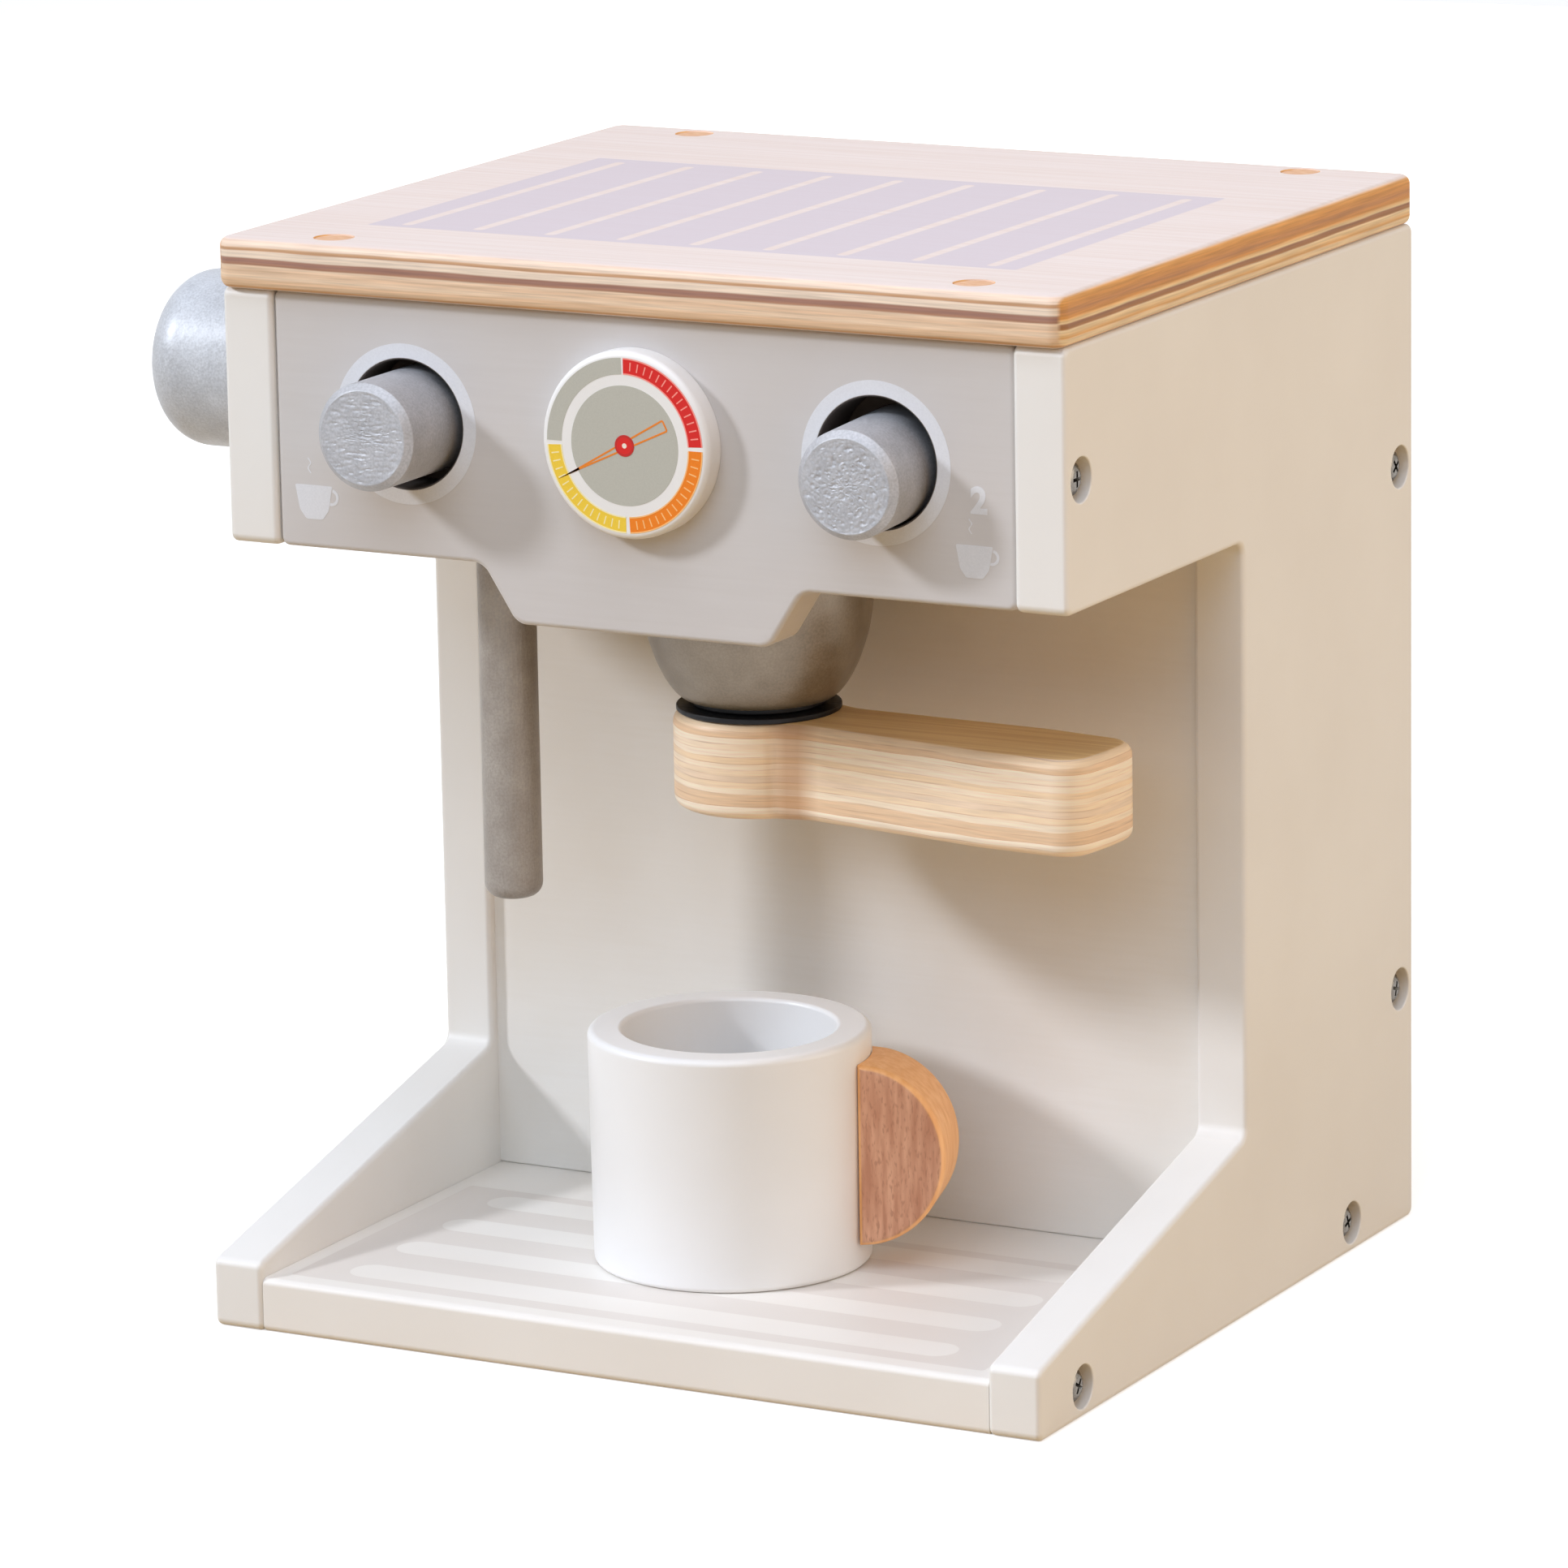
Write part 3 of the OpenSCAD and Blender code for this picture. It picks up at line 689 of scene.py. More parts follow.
@dataclass(frozen=True)
class PlainMetal(Finish):
    """Bare or plated metal: zinc-plated screws and drawn spring wire, with fine working marks."""

    colour: str
    roughness: float
    mark_mm: float = 0.5
    depth: float = 0.01

    def surface(self, tree: Tree) -> dict[str, Any]:
        """Builds the metal's fine marks.

        Args:
            tree: The material's nodes.

        Returns:
            The surface shader's inputs.
        """
        marks = grain_of(tree, (self.mark_mm,) * 3)
        spread = (self.roughness - 0.06, self.roughness + 0.1)
        return {
            "Base Color": tinted(tree, self.colour, marks, (0.85, 1.05)),
            "Metallic": 1.0,
            "Roughness": add_node(tree, "MapRange", marks, *MOST, *spread),
            "Normal": add_node(
                tree, "Bump", named={"Height": marks, "Distance": self.depth * MM}
            ),
        }


@dataclass(frozen=True)
class BlackCoat(Finish):
    """Black coated magnet or lacquered steel: deep black with a soft gloss and light scuffs."""

    colour: str = "101012"
    scuffed: str = "201F21"
    roughness: float = 0.35
    scuff_mm: Triple = (3.0, 0.4, 3.0)

    def surface(self, tree: Tree) -> dict[str, Any]:
        """Builds the scuffs.

        Args:
            tree: The material's nodes.

        Returns:
            The surface shader's inputs.
        """
        scuffs = grain_of(tree, self.scuff_mm)
        spread = (self.roughness, self.roughness + 0.2)
        return {
            "Base Color": two_tone(tree, scuffs, (0.6, 0.75), self.colour, self.scuffed),
            "Roughness": add_node(tree, "MapRange", scuffs, 0.5, 0.75, *spread),
            "Specular IOR Level": 0.25,
        }


@dataclass(frozen=True)
class BareWood(Finish):
    """Unfinished softwood or beech inside the head: matt, with plain straight grain."""

    colour: str = "D9BF99"
    dark: str = "BC9A6E"
    grain_mm: Triple = (60.0, 2.0, 2.0)
    roughness: float = 0.7
    depth: float = 0.05

    def surface(self, tree: Tree) -> dict[str, Any]:
        """Builds the straight grain.

        Args:
            tree: The material's nodes.

        Returns:
            The surface shader's inputs.
        """
        grain = grain_of(tree, self.grain_mm, 4.0)
        colour = two_tone(tree, grain, GRAINY, self.colour, self.dark)
        normal = add_node(tree, "Bump", named={"Height": grain, "Distance": self.depth * MM})
        return {"Base Color": colour, "Roughness": self.roughness, "Normal": normal}


# ---- Shapes ------------------------------------------------------------------------------------


@dataclass(frozen=True)
class Corner:
    """A corner of an outline: its place across and up, and the radius that rounds it."""

    across: float
    up: float
    radius: float = 0.0

    def place(self) -> Vector:
        """Gives the corner's place in the outline's plane."""
        return Vector((self.across, self.up, 0.0))


def drum(
    radius: float, low: float, high: float, ease: float = 0.0, top: float = 0.0
) -> list[Corner]:
    """Gives the half profile of a drum from its height and the rounding of its two rims."""
    rims = [Corner(radius, low, ease), Corner(radius, high, top)]
    return [Corner(0.0, low), *rims, Corner(0.0, high)]


def arc(radius: float, start: float, stop: float, steps: int) -> list[Corner]:
    """Gives the points of an arc about the origin, from one angle in degrees to another."""
    angles = [math.radians(start + (stop - start) * i / steps) for i in range(steps + 1)]
    return [Corner(radius * math.cos(a), radius * math.sin(a)) for a in angles]


def new_verts(made: Mapping[str, Any]) -> list[bmesh.types.BMVert]:
    """Picks the vertices out of what an operator made."""
    return [g for g in made["geom"] if isinstance(g, bmesh.types.BMVert)]


def outward(bm: Mesh) -> Mesh:
    """Turns a closed mesh's faces outwards and returns it."""
    bmesh.ops.recalc_face_normals(bm, faces=bm.faces)
    return bm


def moved(bm: Mesh, matrix: Matrix) -> Mesh:
    """Moves a mesh and returns it."""
    bmesh.ops.transform(bm, matrix=matrix, verts=bm.verts)
    return bm


def spun(
    bm: Mesh,
    geom: Sequence[Any],
    angle: float,
    steps: int,
    up: float = 1.0,
    climb: float = 0.0,
    merge: bool = False,
) -> list[Any]:
    """Spins edges about the Z axis.

    Args:
        bm: The mesh that holds them.
        geom: The edges and their vertices.
        angle: How far they turn, in radians.
        steps: How many faces that makes.
        up: 1 to turn about Z, -1 to turn the other way.
        climb: How far each step rises.
        merge: Whether the end joins the start.

    Returns:
        The last edges and vertices.
    """
    made = bmesh.ops.spin(
        bm,
        geom=geom,
        cent=ORIGIN,
        axis=(0.0, 0.0, up),
        dvec=(0.0, 0.0, climb),
        angle=angle,
        steps=steps,
        use_merge=merge,
        use_duplicate=False,
    )
    return made["geom_last"]


def rounded_face(bm: Mesh, outline: Sequence[Corner], steps: int = 6) -> bmesh.types.BMFace:
    """Makes one flat face from an outline and rounds its corners.

    Args:
        bm: The mesh that gets it, which holds no other face.
        outline: The corners in order.
        steps: How many edges round a corner.

    Returns:
        The face.
    """
    verts = [bm.verts.new(corner.place()) for corner in outline]
    bm.faces.new(verts)
    for i, (vert, corner) in enumerate(zip(verts, outline)):
        if corner.radius <= 0:
            continue
        back = outline[i - 1].place() - corner.place()
        ahead = outline[(i + 1) % len(outline)].place() - corner.place()
        bmesh.ops.bevel(
            bm,
            geom=[vert],
            offset=corner.radius / math.tan(back.angle(ahead) / 2),
            offset_type="OFFSET",
            segments=steps,
            profile=0.5,
            affect="VERTICES",
            material=-1,
            clamp_overlap=False,
        )
    bm.faces.ensure_lookup_table()
    return bm.faces[0]


@dataclass(frozen=True)
class Hole:
    """A round hole in a board's near face, blind or right through, with an eased rim."""

    across: float
    up: float
    radius: float
    depth: float | None = None
    rim: float = 0.35
    sides: int = 72
    rim_steps: int = 3
    wall: int = 0

    def sink(self, bm: Mesh, thick: float) -> tuple[list[Any], list[Any]]:
        """Makes the hole's wall.

        Args:
            bm: The board's mesh, its near face at height 0.
            thick: The board's thickness.

        Returns:
            The edges of the mouth, and those at the far face, which a blind hole lacks.
        """
        centre = at(self.across, self.up, 0.0)
        wide = self.radius + self.rim
        circle = bmesh.ops.create_circle(
            bm, cap_ends=False, radius=wide, segments=self.sides, matrix=centre
        )
        mouth = list({e for v in circle["verts"] for e in v.link_edges})
        turns = [math.pi / 2 * i / self.rim_steps for i in range(1, self.rim_steps + 1)]
        path = [(wide - self.rim * math.sin(t), self.rim * (1 - math.cos(t))) for t in turns]
        path.append((self.radius, self.depth or thick))
        loop, last_radius, last_depth = mouth, wide, 0.0
        for radius, depth in path:
            made = bmesh.ops.extrude_edge_only(bm, edges=loop)
            grown = new_verts(made)
            for face in (g for g in made["geom"] if isinstance(g, bmesh.types.BMFace)):
                face.material_index = self.wall
            share = radius / last_radius
            bmesh.ops.scale(bm, vec=(share, share, 1.0), space=centre.inverted(), verts=grown)
            bmesh.ops.translate(bm, vec=(0.0, 0.0, depth - last_depth), verts=grown)
            fresh = set(grown)
            loop = list({e for v in grown for e in v.link_edges if set(e.verts) <= fresh})
            last_radius, last_depth = radius, depth
        if self.depth is None:
            return mouth, loop
        bmesh.ops.contextual_create(bm, geom=loop)
        return mouth, []


@dataclass(frozen=True)
class Board:
    """A flat board: a rounded outline, a thickness from near to far, eased edges and holes."""

    outline: Sequence[Corner]
    near: float
    far: float
    plane: Plane
    ease: float = 1.2
    ease_steps: int = 4
    holes: Sequence[Hole] = ()
    corner_steps: int = 6

    def _ease(self, bm: Mesh, cap: bmesh.types.BMFace) -> None:
        """Rounds a face's rim by insets that rise along a quarter circle.

        Args:
            bm: The board's mesh.
            cap: The face.
        """
        turns = [math.pi / 2 * i / self.ease_steps for i in range(self.ease_steps + 1)]
        for before, after in zip(turns, turns[1:]):
            bmesh.ops.inset_region(
                bm,
                faces=[cap],
                thickness=self.ease * (math.cos(before) - math.cos(after)),
                depth=self.ease * (math.sin(after) - math.sin(before)),
                use_boundary=True,
                use_even_offset=True,
            )

    def _pierce(self, bm: Mesh, caps: Sequence[bmesh.types.BMFace], thick: float) -> None:
        """Makes the holes and fills the faces anew about them.

        Args:
            bm: The board's mesh.
            caps: Its near and its far face.
            thick: Its thickness.
        """
        rims = [list(cap.edges) for cap in caps]
        faces = 2 if any(hole.depth is None for hole in self.holes) else 1
        bmesh.ops.delete(bm, geom=caps[:faces], context="FACES_ONLY")
        for hole in self.holes:
            for rim, grown in zip(rims, hole.sink(bm, thick)):
                rim += grown
        for rim in rims[:faces]:
            bmesh.ops.triangle_fill(bm, edges=rim, use_beauty=True, use_dissolve=False)

    def mesh(self) -> Mesh:
        """Builds the board as one closed mesh in its place.

        Returns:
            The mesh, in millimetres.
        """
        bm = bmesh.new()
        near = rounded_face(bm, self.outline, self.corner_steps)
        thick = abs(self.far - self.near)
        bmesh.ops.translate(bm, verts=bm.verts, vec=(0.0, 0.0, self.ease))
        made = bmesh.ops.extrude_face_region(bm, geom=[near], use_keep_orig=True)
        height = thick - 2 * self.ease
        bmesh.ops.translate(bm, verts=new_verts(made), vec=(0.0, 0.0, height))
        flat = [face for face in outward(bm).faces if abs(face.normal.z) > 0.5]
        caps = sorted(flat, key=lambda face: face.calc_center_median().z)
        for cap in caps:
            self._ease(bm, cap)
        if self.holes:
            self._pierce(bm, caps, thick)
        bmesh.ops.triangulate(bm, faces=[f for f in bm.faces if len(f.verts) > 4])
        along = 1.0 if self.far > self.near else -1.0
        place = at(0.0, 0.0, self.near) @ Matrix.Diagonal((1.0, 1.0, along, 1.0))
        return outward(moved(bm, self.plane.matrix() @ place))


@dataclass(frozen=True)
class Turning:
    """A turned piece: a half profile of radius and height, spun about an axis through its foot."""

    profile: Sequence[Corner]
    foot: Triple = ORIGIN
    axis: Triple = (0.0, 0.0, 1.0)
    steps: int = 128
    round_steps: int = 6
    fine_height: float | None = None
    fine_cuts: int = 0

    def mesh(self) -> Mesh:
        """Builds the turned piece as one closed mesh in its place.

        Returns:
            The mesh, in millimetres.
        """
        bm = bmesh.new()
        bm.faces.remove(rounded_face(bm, self.profile, self.round_steps))
        for edge in [e for e in bm.edges if all(v.co.x < TINY for v in e.verts)]:
            bm.edges.remove(edge)
        if self.fine_height is not None:
            level = self.fine_height
            flat = [e for e in bm.edges if all(abs(v.co.y - level) < TINY for v in e.verts)]
            bmesh.ops.subdivide_edges(bm, edges=flat, cuts=self.fine_cuts)
        upright = Matrix.Rotation(math.pi / 2, 3, "X")
        bmesh.ops.rotate(bm, verts=bm.verts, cent=ORIGIN, matrix=upright)
        spun(bm, [*bm.verts, *bm.edges], math.tau, self.steps, merge=True)
        bmesh.ops.remove_doubles(bm, verts=bm.verts, dist=TINY)
        turned = Vector((0.0, 0.0, 1.0)).rotation_difference(Vector(self.axis)).to_matrix()
        return outward(moved(bm, at(*self.foot) @ turned.to_4x4()))


def raised(bm: Mesh, height: float) -> Mesh:
    """Gives flat faces that lie at height 0 a thickness and returns the closed mesh.

    Args:
        bm: The mesh that holds the faces.
        height: The thickness.

    Returns:
        The mesh.
    """
    made = bmesh.ops.extrude_face_region(bm, geom=list(bm.faces), use_keep_orig=True)
    bmesh.ops.translate(bm, verts=new_verts(made), vec=(0.0, 0.0, height))
    return outward(bm)


def sector(
    inner: float, outer: float, start: float, stop: float, height: float, step: float = 3.0
) -> Mesh:
    """Makes a thin piece of a ring.

    Args:
        inner: Its inner radius.
        outer: Its outer radius.
        start: Where it starts, in degrees clockwise from the top.
        stop: Where it ends; a whole turn on makes a full ring.
        height: Its thickness.
        step: Degrees between two edges.

    Returns:
        The ring's piece, about the origin.
    """
    bm = bmesh.new()
    a = math.radians(start)
    bm.edges.new([bm.verts.new((r * math.sin(a), r * math.cos(a), 0.0)) for r in (inner, outer)])
    wide = stop - start
    steps = max(1, round(wide / step))
    whole = wide >= WHOLE_TURN
    spun(bm, [*bm.verts, *bm.edges], math.radians(wide), steps, up=-1.0, merge=whole)
    bmesh.ops.remove_doubles(bm, verts=bm.verts, dist=TINY)
    return raised(bm, height)


def patch(outline: Sequence[Corner], height: float, line: float | None = None) -> Mesh:
    """Makes a thin flat shape.

    Args:
        outline: Its corners.
        height: Its thickness.
        line: Width of the line along its edge, where only the line is wanted.

    Returns:
        The shape in its outline's plane.
    """
    bm = bmesh.new()
    face = rounded_face(bm, outline)
    if line:
        bmesh.ops.inset_region(
            bm, faces=[face], thickness=line, use_boundary=True, use_even_offset=True
        )
        bm.faces.remove(face)
    else:
        bmesh.ops.triangulate(bm, faces=[face])
    return raised(bm, height)


def as_data(bm: Mesh, name: str) -> bpy.types.Mesh:
    """Writes a mesh out and frees it.

    Args:
        bm: The mesh.
        name: The data's name.

    Returns:
        The mesh data.
    """
    data = bpy.data.meshes.new(name)
    bm.to_mesh(data)
    bm.free()
    return data


def in_scene(name: str, data: bpy.types.ID) -> bpy.types.Object:
    """Makes an object of some data in the scene.

    Args:
        name: The object's name.
        data: What it holds.

    Returns:
        The object.
    """
    made = bpy.data.objects.new(name, data)
    bpy.context.scene.collection.objects.link(made)
    return made


def gathered(parts: Iterable[Mesh], slot: int = 0) -> Mesh:
    """Puts several meshes into one.

    Args:
        parts: The meshes, which are freed.
        slot: Index of their finish.

    Returns:
        One mesh that holds them all.
    """
    total = bmesh.new()
    for part in parts:
        for face in part.faces:
            face.material_index = max(face.material_index, slot)
        data = as_data(part, "part")
        total.from_mesh(data)
        bpy.data.meshes.remove(data)
    return total


def carved(body: Mesh, cutter: Mesh) -> Mesh:
    """Cuts one closed mesh out of another.

    Args:
        body: The mesh to cut.
        cutter: What is taken away.

    Returns:
        What is left.
    """
    made = [in_scene("carved", as_data(bm, "carved")) for bm in (body, cutter)]
    cut = made[0].modifiers.new("cut", "BOOLEAN")
    cut.object = made[1]
    cut.operation = "DIFFERENCE"
    cut.solver = "EXACT"
    bpy.context.view_layer.update()
    left = bmesh.new()
    left.from_object(made[0], bpy.context.evaluated_depsgraph_get())
    for piece in made:
        data = piece.data
        bpy.data.objects.remove(piece)
        bpy.data.meshes.remove(data)
    return left


def put(
    bm: Mesh,
    name: str,
    slot: str,
    nodes: Sequence[str],
    *finishes: Finish,
    body: Body = Body.FRAME,
    sharp: float = 32.0,
) -> bpy.types.Object:
    """Finishes a mesh as a piece of the object.

    Args:
        bm: The mesh in millimetres, in its place.
        name: The piece's name.
        slot: The record's material slot; not used.
        nodes: The nodes that it stands for.
        finishes: Its finishes, by material index.
        body: The body that it rides on.
        sharp: Angle in degrees past which an edge stays sharp.

    Returns:
        The piece.
    """
    bmesh.ops.scale(bm, vec=(MM, MM, MM), verts=bm.verts)
    data = as_data(bm, name)
    data.shade_smooth()
    data.set_sharp_from_angle(angle=math.radians(sharp))
    piece = in_scene(name, data)
    for finish in finishes:
        data.materials.append(material_of(finish))
    flat = piece.modifiers.new("flat_faces_stay_flat", "WEIGHTED_NORMAL")
    flat.keep_sharp = True
    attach(piece, body.value)
    if nodes:
        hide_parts(*nodes)
    LOG.info("%s: %d faces on %s", name, len(data.polygons), body.value)
    return piece


def dress(node: str, finish: Finish) -> None:
    """Gives a node that keeps its own mesh its finish.

    Args:
        node: The node's name.
        finish: Its finish.
    """
    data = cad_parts[node].data
    data.materials.clear()
    data.materials.append(material_of(finish))
    LOG.info("%s: keeps its own mesh", node)


# ---- The finishes of this toy ------------------------------------------------------------------

CREAM = SatinPaint("cream_satin_paint", "F1EEE9", "ECE8E2")
GREY_FRONT = SatinPaint("warm_grey_satin_paint", "D2CDCA", "CBC5C1", brush=(26.0, 3.0, 1.1))
# Painted shade: the button holes' walls are dark brown to stand in for the shade inside the head
# behind them.
HOLE_WALL = SatinPaint("hole_wall_painted_shade", "4A423D", "3A332F", roughness=0.7)
BAY_BACK = SatinPaint("rolled_cream_paint", "EFEBE5", "E9E3DA", brush=(22.0, 3.0, 1.3))
CUP_WHITE = SatinPaint("white_satin_paint", "F4F2F0", "EFEDEA", roughness=0.36, peel_mm=2.2)
GAUGE_WHITE = SatinPaint("gauge_white_paint", "F3F1EE", "EEEBE7", roughness=0.4)
PALE_INK = Ink("pale_grey_ink", "E0E0E3")
SILVER = SilverPaint("silver_flake_paint")
# A darker, browner copy of the silver paint for the bowl: painted shade and painted reflection of
# the warm bay around it.
SILVER_SHADED = SilverPaint("silver_bowl_painted_shade_and_reflection", "958A7B", "887D6E", 0.45, 0.4)
# A lighter, bluer copy of the silver paint for the knob: painted light from its lit left side.
SILVER_KNOB = SilverPaint(
    "silver_knob_painted_light", "C8CACE", "B9BBBF", 0.08, 0.38, (1.8, 1.8, 1.8), 0.07
)
# A darker, warmer copy of the silver paint for the wand: painted shade and painted warm
# reflection.
SILVER_DOWEL = SilverPaint(
    "silver_wand_painted_shade", "A59D94", "968D84", relief_mm=(0.8, 0.8, 5.0), depth=0.12
)
# Zinc plating, darker than bright zinc: partly its own grey, and partly painted shade and painted
# dark reflections of the counterbores the screws sit in.
ZINC = PlainMetal("zinc_darkened_for_painted_shade", "7F7971", 0.26)
WIRE = PlainMetal("spring_wire", "A7AAAE", 0.24)
BLACK_MAGNET = BlackCoat("black_coated_magnet")
BLACK_DISC = BlackCoat("black_lacquered_steel", "0D0C0E", "1B1A1C", 0.42)
BARE = BareWood("bare_softwood")
# Painted shade: the button stop rings, seen only through the gaps round the buttons, are dark
# brown for the shade inside the head.
PAINTED_SHADE_WOOD = BareWood("stop_ring_painted_shade", "4E3F32", "3C2F24")
PLUG_WOOD = BareWood("plug_end_grain", "E6BB96", "D49C72", (3.0, 0.8, 3.0))


# ---- Sub-assemblies ----------------------------------------------------------------------------


@dataclass(frozen=True)
class SideScrews:
    """The screws of a side panel: pan heads with a cross recess, sunk in round counterbores."""

    hole_radius: float = 4.75
    sink: float = 3.2
    head_radius: float = 3.7
    head_height: float = 2.2
    shoulder: tuple[float, float] = (0.45, 0.8)
    crown: tuple[float, float] = (0.55, 2.0)
    foot_round: float = 0.2
    shank_radius: float = 1.75
    length: float = 25.0
    cross: Triple = (4.4, 0.95, 3.0)
    cross_taper: float = 0.55
    spin_step: float = 37.0
    places: tuple[Pair, ...] = (
        (-71.0, 198.0),
        (87.5, 172.7),
        (87.5, 54.0),
        (61.3, 6.6),
        (-74.1, 6.6),
    )

    def holes(self) -> list[Hole]:
        """Gives the counterbores that take the heads."""
        return [Hole(y, z, self.hole_radius, self.sink) for y, z in self.places]

    def _screw(self) -> Mesh:
        """Builds one screw, its head standing on height 0.

        Returns:
            The screw's mesh.
        """
        wide, high, thin = self.head_radius, self.head_height, self.shank_radius
        profile = (
            Corner(0.0, -self.length),
            Corner(thin, 3 * thin - self.length),
            Corner(thin, 0.0),
            Corner(wide, 0.0, self.foot_round),
            Corner(wide, high * self.shoulder[0], self.shoulder[1]),
            Corner(wide * self.crown[0], high, self.crown[1]),
            Corner(0.0, high),
        )
        body = Turning(profile, steps=48).mesh()
        for turn in (0.0, 90.0):
            blade = bmesh.new()
            bmesh.ops.create_cube(blade, size=1.0)
            spot = at(0.0, 0.0, high) @ turned_by(turn)
            moved(blade, spot @ Matrix.Diagonal((*self.cross, 1.0)))
            deep = [v for v in blade.verts if v.co.z < high]
            taper = (self.cross_taper, self.cross_taper, 1.0)
            bmesh.ops.scale(blade, vec=taper, verts=deep)
            body = carved(body, blade)
        return body

    def build(self, side: int, name: str, outer: float) -> None:
        """Builds one panel's five screws.

        Args:
            side: -1 for the left panel, 1 for the right.
            name: The side's name.
            outer: Where the panel's outer face is.
        """
        screws = []
        for i, (y, z) in enumerate(self.places):
            turned = turned_by(side * 90.0, "Y") @ turned_by(i * self.spin_step)
            screws.append(moved(self._screw(), at(outer - side * self.sink, y, z) @ turned))
        label = f"{name}_cross_head_screws"
        put(gathered(screws), label, "screw_steel", [f"{name}_side_screws"], ZINC)


@dataclass(frozen=True)
class SidePanels:
    """The two side panels: head, column and sloping foot cut from one board."""

    head_depth: float = 172.5
    bay_depth: float = 84.5
    head_low: float = 170.6
    foot_top: float = 40.0
    nose: float = 15.3
    corner: float = 2.0
    inner_corner: float = 3.0
    screws: SideScrews = SideScrews()
    axle_hole: Hole = Hole(-42.0, 203.2, 4.05)

    def _outline(self, box: Box) -> list[Corner]:
        """Gives the outline as seen from the right, Y across and Z up.

        Args:
            box: The panel's box.

        Returns:
            The outline's corners.
        """
        foot, rear, top = box.low[1], box.high[1], box.high[2]
        front = rear - self.head_depth
        column = front + self.bay_depth
        return [
            Corner(foot, 0.0, self.corner),
            Corner(rear, 0.0, self.corner),
            Corner(rear, top, self.corner),
            Corner(front, top, self.corner),
            Corner(front, self.head_low, self.corner),
            Corner(column, self.head_low, self.inner_corner),
            Corner(column, self.foot_top, self.inner_corner),
            Corner(foot, self.nose, self.corner),
        ]

    def build(self) -> None:
        """Builds both panels and their screws."""
        for side, name in ((-1, "left"), (1, "right")):
            box = Box.of(f"{name}_side_panel")
            faces = (box.low[0], box.high[0])[::-side]
            holes = self.screws.holes() + [self.axle_hole] * (side < 0)
            board = Board(self._outline(box), *faces, Plane.SIDEWAYS, holes=holes)
            label = f"{name}_panel_painted"
            put(board.mesh(), label, "cream_paint", [f"{name}_side_panel"], CREAM)
            self.screws.build(side, name, faces[0])


@dataclass(frozen=True)
class CrossBoards:
    """The boards between the side panels: base with its drip grille, bay back and rear."""

    front_round: float = 1.6
    back_round: float = 0.6
    end_ease: float = 0.15
    drip_print: SlotPrint = SlotPrint(
        centre=(0.0, -49.8),
        half=(84.0, 38.7),
        corner=0.8,
        slot_centre=(-0.5, -79.0),
        slot_half=(73.5, 4.8),
        pitch=19.7,
        row=Slots.ALONG_Y,
        ink="E2DAD2",
        cover=0.9,
        level=0.7,
    )

    def _board(self, node: str, name: str, rounds: Sequence[float], finish: Finish) -> None:
        """Builds one board that runs from panel to panel.

        Args:
            node: The node that it stands for.
            name: The piece's name.
            rounds: Radii of its long edges, from the lower front one round by the lower back.
            finish: Its finish.
        """
        box = Box.of(node)
        front, back, low, top = box.low[1], box.high[1], box.low[2], box.high[2]
        places = ((front, low), (back, low), (back, top), (front, top))
        section = [Corner(*place, radius) for place, radius in zip(places, rounds)]
        ends = (box.low[0], box.high[0], Plane.SIDEWAYS)
        board = Board(section, *ends, ease=self.end_ease, ease_steps=2)
        put(board.mesh(), name, "cream_paint", [node], finish)

    def build(self) -> None:
        """Builds the three boards."""
        front, back = self.front_round, self.back_round
        printed = SatinPaint(
            "cream_paint_with_drip_grille", "F1ECE5", "EDE7DF", slots=self.drip_print
        )
        self._board("base_board", "base_board_printed", (front, back, back, front), printed)
        self._board("bay_back_board", "bay_back_painted", (back, back, back, back), BAY_BACK)
        self._board("rear_board", "rear_board_painted", (back, front, back, back), CREAM)


